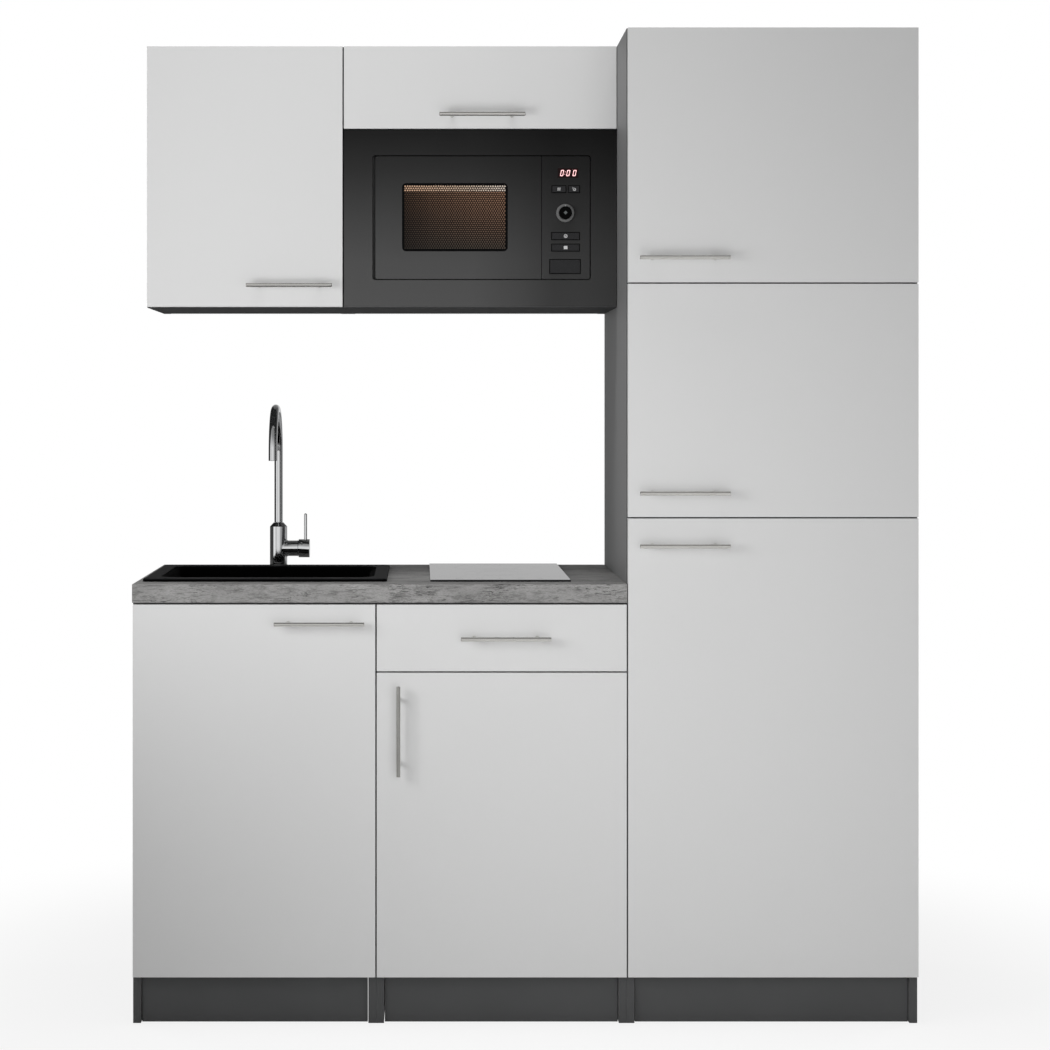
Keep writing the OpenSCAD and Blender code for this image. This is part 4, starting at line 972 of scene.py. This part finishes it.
def tap_body():
    """Column and cartridge arm joined with a small fillet."""
    z0, z1 = WORKTOP_HIGH.z, COLUMN_HIGH.z
    shoulder, top_r, soft = z1 - SHOULDER_H, SPOUT_R + 1.5, 0.08
    column = Piece("tap_column")
    column.turned([(0, z0), (BODY_R + 2.5, z0), (BODY_R + 2.5, z0 + 1.4), (BODY_R + 1.6, z0 + 2.4),
                   (BODY_R + 0.2, z0 + 3.2), (BODY_R, z0 + 4.2), (BODY_R, shoulder - 0.6),
                   (BODY_R - 0.2, shoulder + 0.2),
                   (BODY_R + (top_r - BODY_R) * soft, shoulder + SHOULDER_H * soft + 0.1),
                   (top_r + 0.4, z1 - 0.4), (top_r - 0.2, z1), (0, z1)], TAP_AXIS, steps=72)
    sleeve = Piece("tap_arm")
    end = box("tap_cap")[0].x - TAP_GAP - TAP_X
    sleeve.turned([(0, 0), (ARM_R, 0), (ARM_R, end - 1.6), (ARM_R - 1, end - 1.2), (ARM_R - 1, end),
                   (0, end)], along(X, (TAP_X, TAP_Y, middle("tap_cap").z)), steps=72)
    part = union(column.write(), sleeve.write())
    inner = [e for e in part.edges if e.is_manifold and e.calc_face_angle_signed(0) < -radians(25)]
    bmesh.ops.bevel(part, geom=inner, offset=JOINT_FILLET * MM, segments=4, profile=0.5, affect="EDGES")
    piece = Piece("tap_body_dressed")
    piece.merge(part, Matrix.Scale(1 / MM, 4))
    piece.done("cabinets", "tap_chrome", CHROME, replaces=["tap_body"], sharp=32)


def tap_fixing():
    """Shank, hexagon nut and the two copper supply tails."""
    nut_z, top, low = WORKTOP_LOW.z - NUT_H, WORKTOP_LOW.z, box("tap_body")[0].z
    under = Piece("tap_fixing")
    under.rod(SHANK_R, nut_z - 4, WORKTOP_HIGH.z, TAP_AXIS)
    under.turned([(NUT_R - 0.1, nut_z), (NUT_R, nut_z + 1), (NUT_R, top - 1), (NUT_R - 0.1, top),
                  (SHANK_R - 0.2, top), (SHANK_R - 0.2, nut_z)], TAP_AXIS, steps=6)
    for side in SIDES:
        under.turned([(0, low), (TAIL_R - 0.5, low), (TAIL_R, low + 0.5), (TAIL_R, nut_z), (0, nut_z)],
                     at(TAP_X + side * TAIL_PITCH / 2, TAP_Y, 0), 1, 24)
    under.done("cabinets", "tap_chrome", CHROME, COPPER, replaces=["tap_body"])


def tap_spout():
    """The swivel spout: a collar, the column, the half-round bow and the aerator in its mouth."""
    z0, outlet_y = COLUMN_HIGH.z + TAP_GAP, SPOUT_LOW.y + SPOUT_R
    bow = (TAP_Y - outlet_y) / 2
    arc_z = SPOUT_HIGH.z - SPOUT_R - bow
    mouth_z = arc_z - 11
    bends = [pi * k / 40 for k in range(41)]
    path = [(TAP_Y, z0), (TAP_Y, z0 + 1), (TAP_Y, z0 + 40), (TAP_Y, arc_z - 10),
            *[polar(bow, a, TAP_Y - bow, arc_z) for a in bends],
            (outlet_y, mouth_z + 1), (outlet_y, mouth_z)]
    radii = [SPOUT_R - 0.6] + [SPOUT_R] * (len(path) - 2) + [SPOUT_R - 0.5]
    piece = Piece("tap_spout_dressed")
    piece.tube(path, radii, at(TAP_X, 0, 0), 48)
    mouth = along(-Z, (TAP_X, outlet_y, mouth_z))
    piece.turned([(SPOUT_R - 0.6, -0.2), (SPOUT_R - 0.9, 0), (SPOUT_R - 1.5, 0), (SPOUT_R - 1.8, -1),
                  (SPOUT_R - 1.8, -2)], mouth)
    # Painted shade: a thin dark disc inside the aerator's mouth.
    piece.rod(SPOUT_R - 1.7, 0, 0.03, mouth, 1)
    piece.rod(SPOUT_PLUG_R, -29, 0.2, at(TAP_X, TAP_Y, z0))
    piece.done("tap_spout", "tap_chrome", CHROME, PAINTED_SHADE, replaces=["tap_spout"])


def tap_lever():
    """The slim lever pin with a domed end."""
    low, high = box("tap_lever")
    r, c = (high.x - low.x) / 2, (low + high) / 2
    dome = [polar(r, a, 0, high.z - r) for a in (0, 0.4, 0.8, 1.2)]
    piece = Piece("tap_lever_dressed")
    piece.turned([(0, low.z), (r * 0.7, low.z + 0.3 * r), (r, low.z + r), *dome, (0, high.z)],
                 at(c.x, c.y, 0))
    piece.done("tap_lever", "tap_chrome", CHROME, replaces=["tap_lever"], sharp=60)


tap_body()
tap_fixing()
tap_spout()
tap_lever()


# Hob

HOB_LOW, HOB_HIGH = box("hob_glass")
PRINT_T = 0.04
# Each zone's distance from the glass's front edge and its radius
ZONES = ((195, 72.5), (385, 90))
KEY_ROW = 42
KEYS = (-84, -42, 42, 84)
PLUS_KEYS = (-42, 84)
KEY_R = 8
KEY_SIGN = 6


def mark_ring(piece, centre, r, width, up, steps=72):
    """A printed ring on a surface that faces up."""
    low, high = r - width / 2, r + width / 2
    piece.turned([(low, -PRINT_T), (high, -PRINT_T), (high, PRINT_T), (low, PRINT_T)], along(up, centre),
                 0, steps)


def mark_bar(piece, centre, w, h, place, material=0):
    """A printed bar, w by h, on a surface given by a frame whose Z stands on it."""
    x, y = centre
    piece.block((x - w / 2, y - h / 2, -PRINT_T), (x + w / 2, y + h / 2, PRINT_T), 0, place, material)


def hob_print():
    """Two zone rings, their centre marks and a row of touch keys along the front."""
    piece = Piece("hob_print")
    x, z, key_y = middle("hob_glass").x, HOB_HIGH.z, HOB_LOW.y + KEY_ROW
    for reach, r in ZONES:
        y = HOB_LOW.y + reach
        mark_ring(piece, (x, y, z), r, 1.2, Z)
        mark_ring(piece, (x, y, z), r * 0.62, 0.7, Z)
        for quarters in range(4):
            mark_bar(piece, (r + 5, 0), 6, 1, at(x, y, z) @ turn_z(pi / 2 * quarters))
    keys = at(x, key_y, z)
    for column in KEYS:
        mark_ring(piece, (x + column, key_y, z), KEY_R, 0.6, Z, 40)
        mark_bar(piece, (column, 0), KEY_SIGN, 0.9, keys)
        if column in PLUS_KEYS:
            mark_bar(piece, (column, 0), 0.9, KEY_SIGN, keys)
    mark_ring(piece, (x, key_y, z), 6, 0.9, Z, 40)
    mark_bar(piece, (0, 5), 0.9, KEY_SIGN, keys)
    piece.done("cabinets", "hob_glass", HOB_PRINT)


hob_print()


# Microwave controls

GRIP_R = 14
SKIRT_H = 4
SKIRT_GAP = 0.4
SHAFT_R = 3


def knob():
    """Timer knob: a grey skirt, a black grip with a bevelled top, and a small pointer."""
    low, high = box("microwave_knob")
    c, r = middle("microwave_knob"), (high.x - low.x) / 2
    out, gap, skirt = WALL_FACE_Y - low.y, SKIRT_GAP, SKIRT_GAP + SKIRT_H
    here = along(-Y, (c.x, WALL_FACE_Y, c.z))
    piece = Piece("microwave_knob_dressed")
    piece.turned([(0, gap), (r, gap), (r, gap + 2.2), (r - 1, skirt - 0.3), (r - 2, skirt),
                  (GRIP_R - 1, skirt - 0.5), (0, skirt - 0.5)], here, 0, 72)
    piece.turned([(0, gap + 2), (GRIP_R, gap + 2), (GRIP_R - 0.3, out - 1.6), (GRIP_R - 1.2, out - 0.4),
                  (GRIP_R - 3, out - 0.1), (0, out - 0.6)], here, 1, 72)
    piece.turned([(0, out - 0.7), (4.4, out - 0.6), (4.0, out - 0.2), (0, out)], here, 3, 4)
    piece.block((-0.5, GRIP_R + 0.8, skirt - 0.6), (0.5, r - 2.4, skirt + 0.02), 0,
                facing(c.x, WALL_FACE_Y, c.z), 2)
    piece.rod(SHAFT_R, WALL_FACE_Y - high.y, gap + 1, here, 1, 24)
    piece.done("microwave_knob", "button_plastic", KNOB_RING, KNOB_GRIP, SYMBOL, KNOB_MARK,
               replaces=["microwave_knob"])


def face_of(node):
    """A frame in the middle of a control's face."""
    centre = middle(node)
    return facing(centre.x, box(node)[0].y, centre.z)


def power_level(piece, place):
    for column in (-1, 0, 1):
        for row in (-1, 0, 1):
            mark_bar(piece, (column * 2.3, row * 2.1), 1.7, 1.5, place)


def defrost(piece, place):
    mark_ring(piece, place @ Vector((0.9, -0.7, 0)), 2.3, 1.5, -Y, 32)
    mark_bar(piece, (-2.4, 0.8), 4.6, 1.6, place @ turn_z(radians(-28)))
    mark_bar(piece, (-1.6, 2.4), 2.6, 1.5, place)


def stop(piece, place):
    mark_ring(piece, place.translation, 3.2, 1.5, -Y, 32)
    mark_bar(piece, (0, 0), 5.4, 1.3, place @ turn_z(radians(50)))


def start(piece, place):
    mark_bar(piece, (0, 0), 7.8, 7.0, place)


def symbols():
    """Small generic marks on the four upper buttons."""
    for button, symbol in zip(BUTTONS, (power_level, defrost, stop, start)):
        piece = Piece("symbol_" + symbol.__name__)
        symbol(piece, face_of(button))
        piece.done(button, "button_plastic", SYMBOL)


def bezels():
    """Dark shadow frames around the five buttons."""
    piece = Piece("button_bezels")
    face = box("microwave_panel")[0].y
    gap, width = 0.2, 1.7
    for name in BUTTONS:
        low, high = box(name)
        c, w, h = (low + high) / 2, high.x - low.x + 2 * gap, high.z - low.z + 2 * gap
        place = facing(c.x, face, c.z)
        for side in SIDES:
            mark_bar(piece, (0, side * (h + width) / 2), w + 2 * width, width, place)
            mark_bar(piece, (side * (w + width) / 2, 0), width, h, place)
    piece.done("cabinets", "microwave_front", PAINTED_SHADE)


DIGIT_W = 6.4
DIGIT_H = 13.0
STROKE_T = 1.3
GLOW_REACH = 0.3
SLANT = 0.2


def digits():
    """0:00 in slanted seven-segment strokes, each with a red glow around it."""
    lean = Matrix(((1, SLANT, 0, 0), (0, 1, 0, 0), (0, 0, 1, 0), (0, 0, 0, 1)))
    base = face_of("microwave_display") @ lean
    piece = Piece("display_digits")

    def stroke(x, y, across, up):
        mark_bar(piece, (x, y), across + 2 * GLOW_REACH, up + 2 * GLOW_REACH, base, 1)
        mark_bar(piece, (x, y), across, up, base @ at(0, 0, PRINT_T))

    for x in (-12.6, 0.7, 14.1):
        for side in SIDES:
            for up in SIDES:
                stroke(x + side * (DIGIT_W - STROKE_T) / 2, up * DIGIT_H / 4, STROKE_T, DIGIT_H / 2 - 1)
            stroke(x, side * (DIGIT_H - STROKE_T) / 2, DIGIT_W - 2 * STROKE_T, STROKE_T)
    for up in SIDES:
        stroke(-6.2, up * 2.6, 1.0, 1.3)
    piece.done("cabinets", "display_glass", DIGITS, GLOW)


knob()
symbols()
bezels()
digits()


# Shelf-pin borings

BORE_R = 2.5
BORE_PITCH = 32
BORE_IN = 37
BOARD_T = 16
# Side boards, height of the lowest boring and number of borings in each column
BORED = [("drawer_base_sides", 200, 14), ("tall_sides", 200, 24), ("tall_sides", 1120, 10),
         ("tall_sides", 1600, 10), ("wall_cabinet_sides", 1560, 12)]


def borings():
    """Two columns of pin holes on the inner sides of every cabinet with loose shelves, drawn as thin dark
    discs of painted shade.
    """
    piece = Piece("pin_borings")
    for node, lowest, count in BORED:
        low, high = box(node)
        for x, out in ((low.x + BOARD_T, X), (high.x - BOARD_T, -X)):
            for y in (low.y + 2 * BORE_IN, high.y - 3 * BORE_IN):
                for k in range(count):
                    mouth = along(out, (x, y, lowest + k * BORE_PITCH))
                    piece.rod(BORE_R, -PRINT_T, PRINT_T, mouth, steps=12)
    piece.done("cabinets", "carcass_laminate", PAINTED_SHADE)


borings()


# Camera, lights and surroundings, in metres

CAMERA_X = -0.21272
CAMERA_Z = 1.25556
CAMERA_DISTANCE = 4.77991
FOCAL_PX = 2352.41
CENTRE_PX = (420.92, 407.76)
FRAME_PX = 1050
SENSOR = 36.0


def camera():
    """The photograph's own viewpoint: straight ahead, with its centre shifted in the frame."""
    data = tuned(bpy.data.cameras.new("camera"), sensor_width=SENSOR, lens=FOCAL_PX / FRAME_PX * SENSOR,
                 shift_x=(FRAME_PX / 2 - CENTRE_PX[0]) / FRAME_PX,
                 shift_y=(CENTRE_PX[1] - FRAME_PX / 2) / FRAME_PX)
    place = (CAMERA_X, FACE_Y * MM - CAMERA_DISTANCE, CAMERA_Z)
    scene.camera = tuned(add_object("camera", data), location=place, rotation_euler=(pi / 2, 0, 0))
    scene.view_settings.view_transform = "Standard"


def area_lamp(name, place, target, size, power):
    """A soft light that brightens surfaces without showing up in their gloss."""
    data = bpy.data.lights.new(name, "AREA")
    tuned(data, shape="RECTANGLE", size=size[0], size_y=size[1], energy=power)
    aim = (Vector(target) - Vector(place)).to_track_quat("-Z", "Y").to_euler()
    tuned(add_object(name, data), location=place, rotation_euler=aim, visible_glossy=False,
          visible_camera=False)


camera()
area_lamp("left", (-1.26, -1.53, 1.32), (1.38, -0.28, 2.5), (1.0, 1.0), 25.5)
area_lamp("low_right", (0.35, -2.16, 0.75), (1.5, -0.28, 1.2), (1.5, 1.3), 18)
area_lamp("top", (-0.2, -0.4, 3.4), (-0.2, -0.1, 0.9), (1.6, 0.8), 26)
area_lamp("back_left", (-2.6, 1.6, 1.7), (0, 0, 1.0), (1.2, 1.2), 20)
area_lamp("back_right", (2.6, 1.2, 1.7), (0, 0, 1.0), (1.2, 1.2), 20)

# What gloss sees around the unit: azimuth in degrees (0 towards the camera) and brightness.
# The white backdrop stands behind, two softboxes stand in front, and it is dark between them.
SURROUNDINGS = [(-180, 0.62), (-168, 0.62), (-162, 0.06), (-74, 0.05), (-64, 0.90), (-42, 0.90),
                (-32, 0.35), (-22, 0.80), (14, 0.80), (26, 0.42), (44, 0.30), (60, 0.09), (74, 0.16),
                (104, 0.36), (160, 0.34), (168, 0.62), (180, 0.62)]
# How that brightness falls with height above the horizon
ELEVATION = [(0.0, 1.0), (0.14, 1.0), (0.34, 0.40), (0.7, 0.16)]
AMBIENT = 0.15
FLOOR_SIZE = 6
FLOOR_DROP = 0.5 * MM
SHADE_NEAR = 0.9
SHADE_FAR = 1.9
SHADE_SHARE = 0.84


def world():
    """White for the camera and glass, the surroundings for gloss, and dim light from all round."""
    studio = bpy.data.worlds.new("studio")
    scene.world = studio
    studio.use_nodes = True
    t = Tree(studio.node_tree)
    t.tree.nodes.clear()
    way = t.split(t.node("ShaderNodeTexCoord").outputs["Generated"])
    azimuth = t.math("ARCTAN2", way["X"], t.times(way["Y"], -1.0))
    turn = t.math("ADD", t.math("DIVIDE", azimuth, tau), 0.5)
    around = t.ramp(turn, *[(a / 360 + 0.5, value) for a, value in SURROUNDINGS])
    behind = t.times(way["Y"], 3.0, clamp=True)
    height = t.times(way["Z"], t.math("ADD", t.times(behind, 0.5), 0.5))
    mirrored = t.times(around, t.ramp(height, *ELEVATION))
    glossy = t.rays("Glossy")
    level = t.times(t.math("SUBTRACT", 1.0, glossy), AMBIENT)
    level = t.math("ADD", level, t.times(mirrored, glossy))
    level = t.math("MAXIMUM", level, t.rays("Camera", "Transmission"))
    background = t.node("ShaderNodeBackground", {"Color": (1, 1, 1), "Strength": level})
    t.node("ShaderNodeOutputWorld", {"Surface": background.outputs[0]})


def floor():
    """A pale floor that fades to white away from the unit and keeps its shadow near it."""
    f = Finish("floor", (0.80, 0.80, 0.80), 0.7)
    f.rough(f.noise(30), 0.6, 0.8)
    x, y = f.axis("X"), f.axis("Y")
    away = f.math("SQRT", f.math("ADD", f.times(x, x), f.times(y, y)))
    white = f.spread(away, SHADE_SHARE, 1.0, SHADE_NEAR, SHADE_FAR, "SMOOTHSTEP")
    seen = f.times(f.rays("Camera", "Transmission"), white)
    glow = f.node("ShaderNodeEmission").outputs[0]
    mix = f.node("ShaderNodeMixShader", {"Fac": seen, 1: f.shader.outputs[0], 2: glow})
    out = next(n for n in f.tree.nodes if n.type == "OUTPUT_MATERIAL")
    f.feed(out.inputs["Surface"], mix.outputs[0])
    part = bmesh.new()
    bmesh.ops.create_grid(part, x_segments=1, y_segments=1, size=FLOOR_SIZE)
    mesh = bpy.data.meshes.new("floor")
    part.to_mesh(mesh)
    part.free()
    mesh.materials.append(f.material)
    ground = add_object("floor", mesh)
    ground.location.z = -FLOOR_DROP


world()
floor()
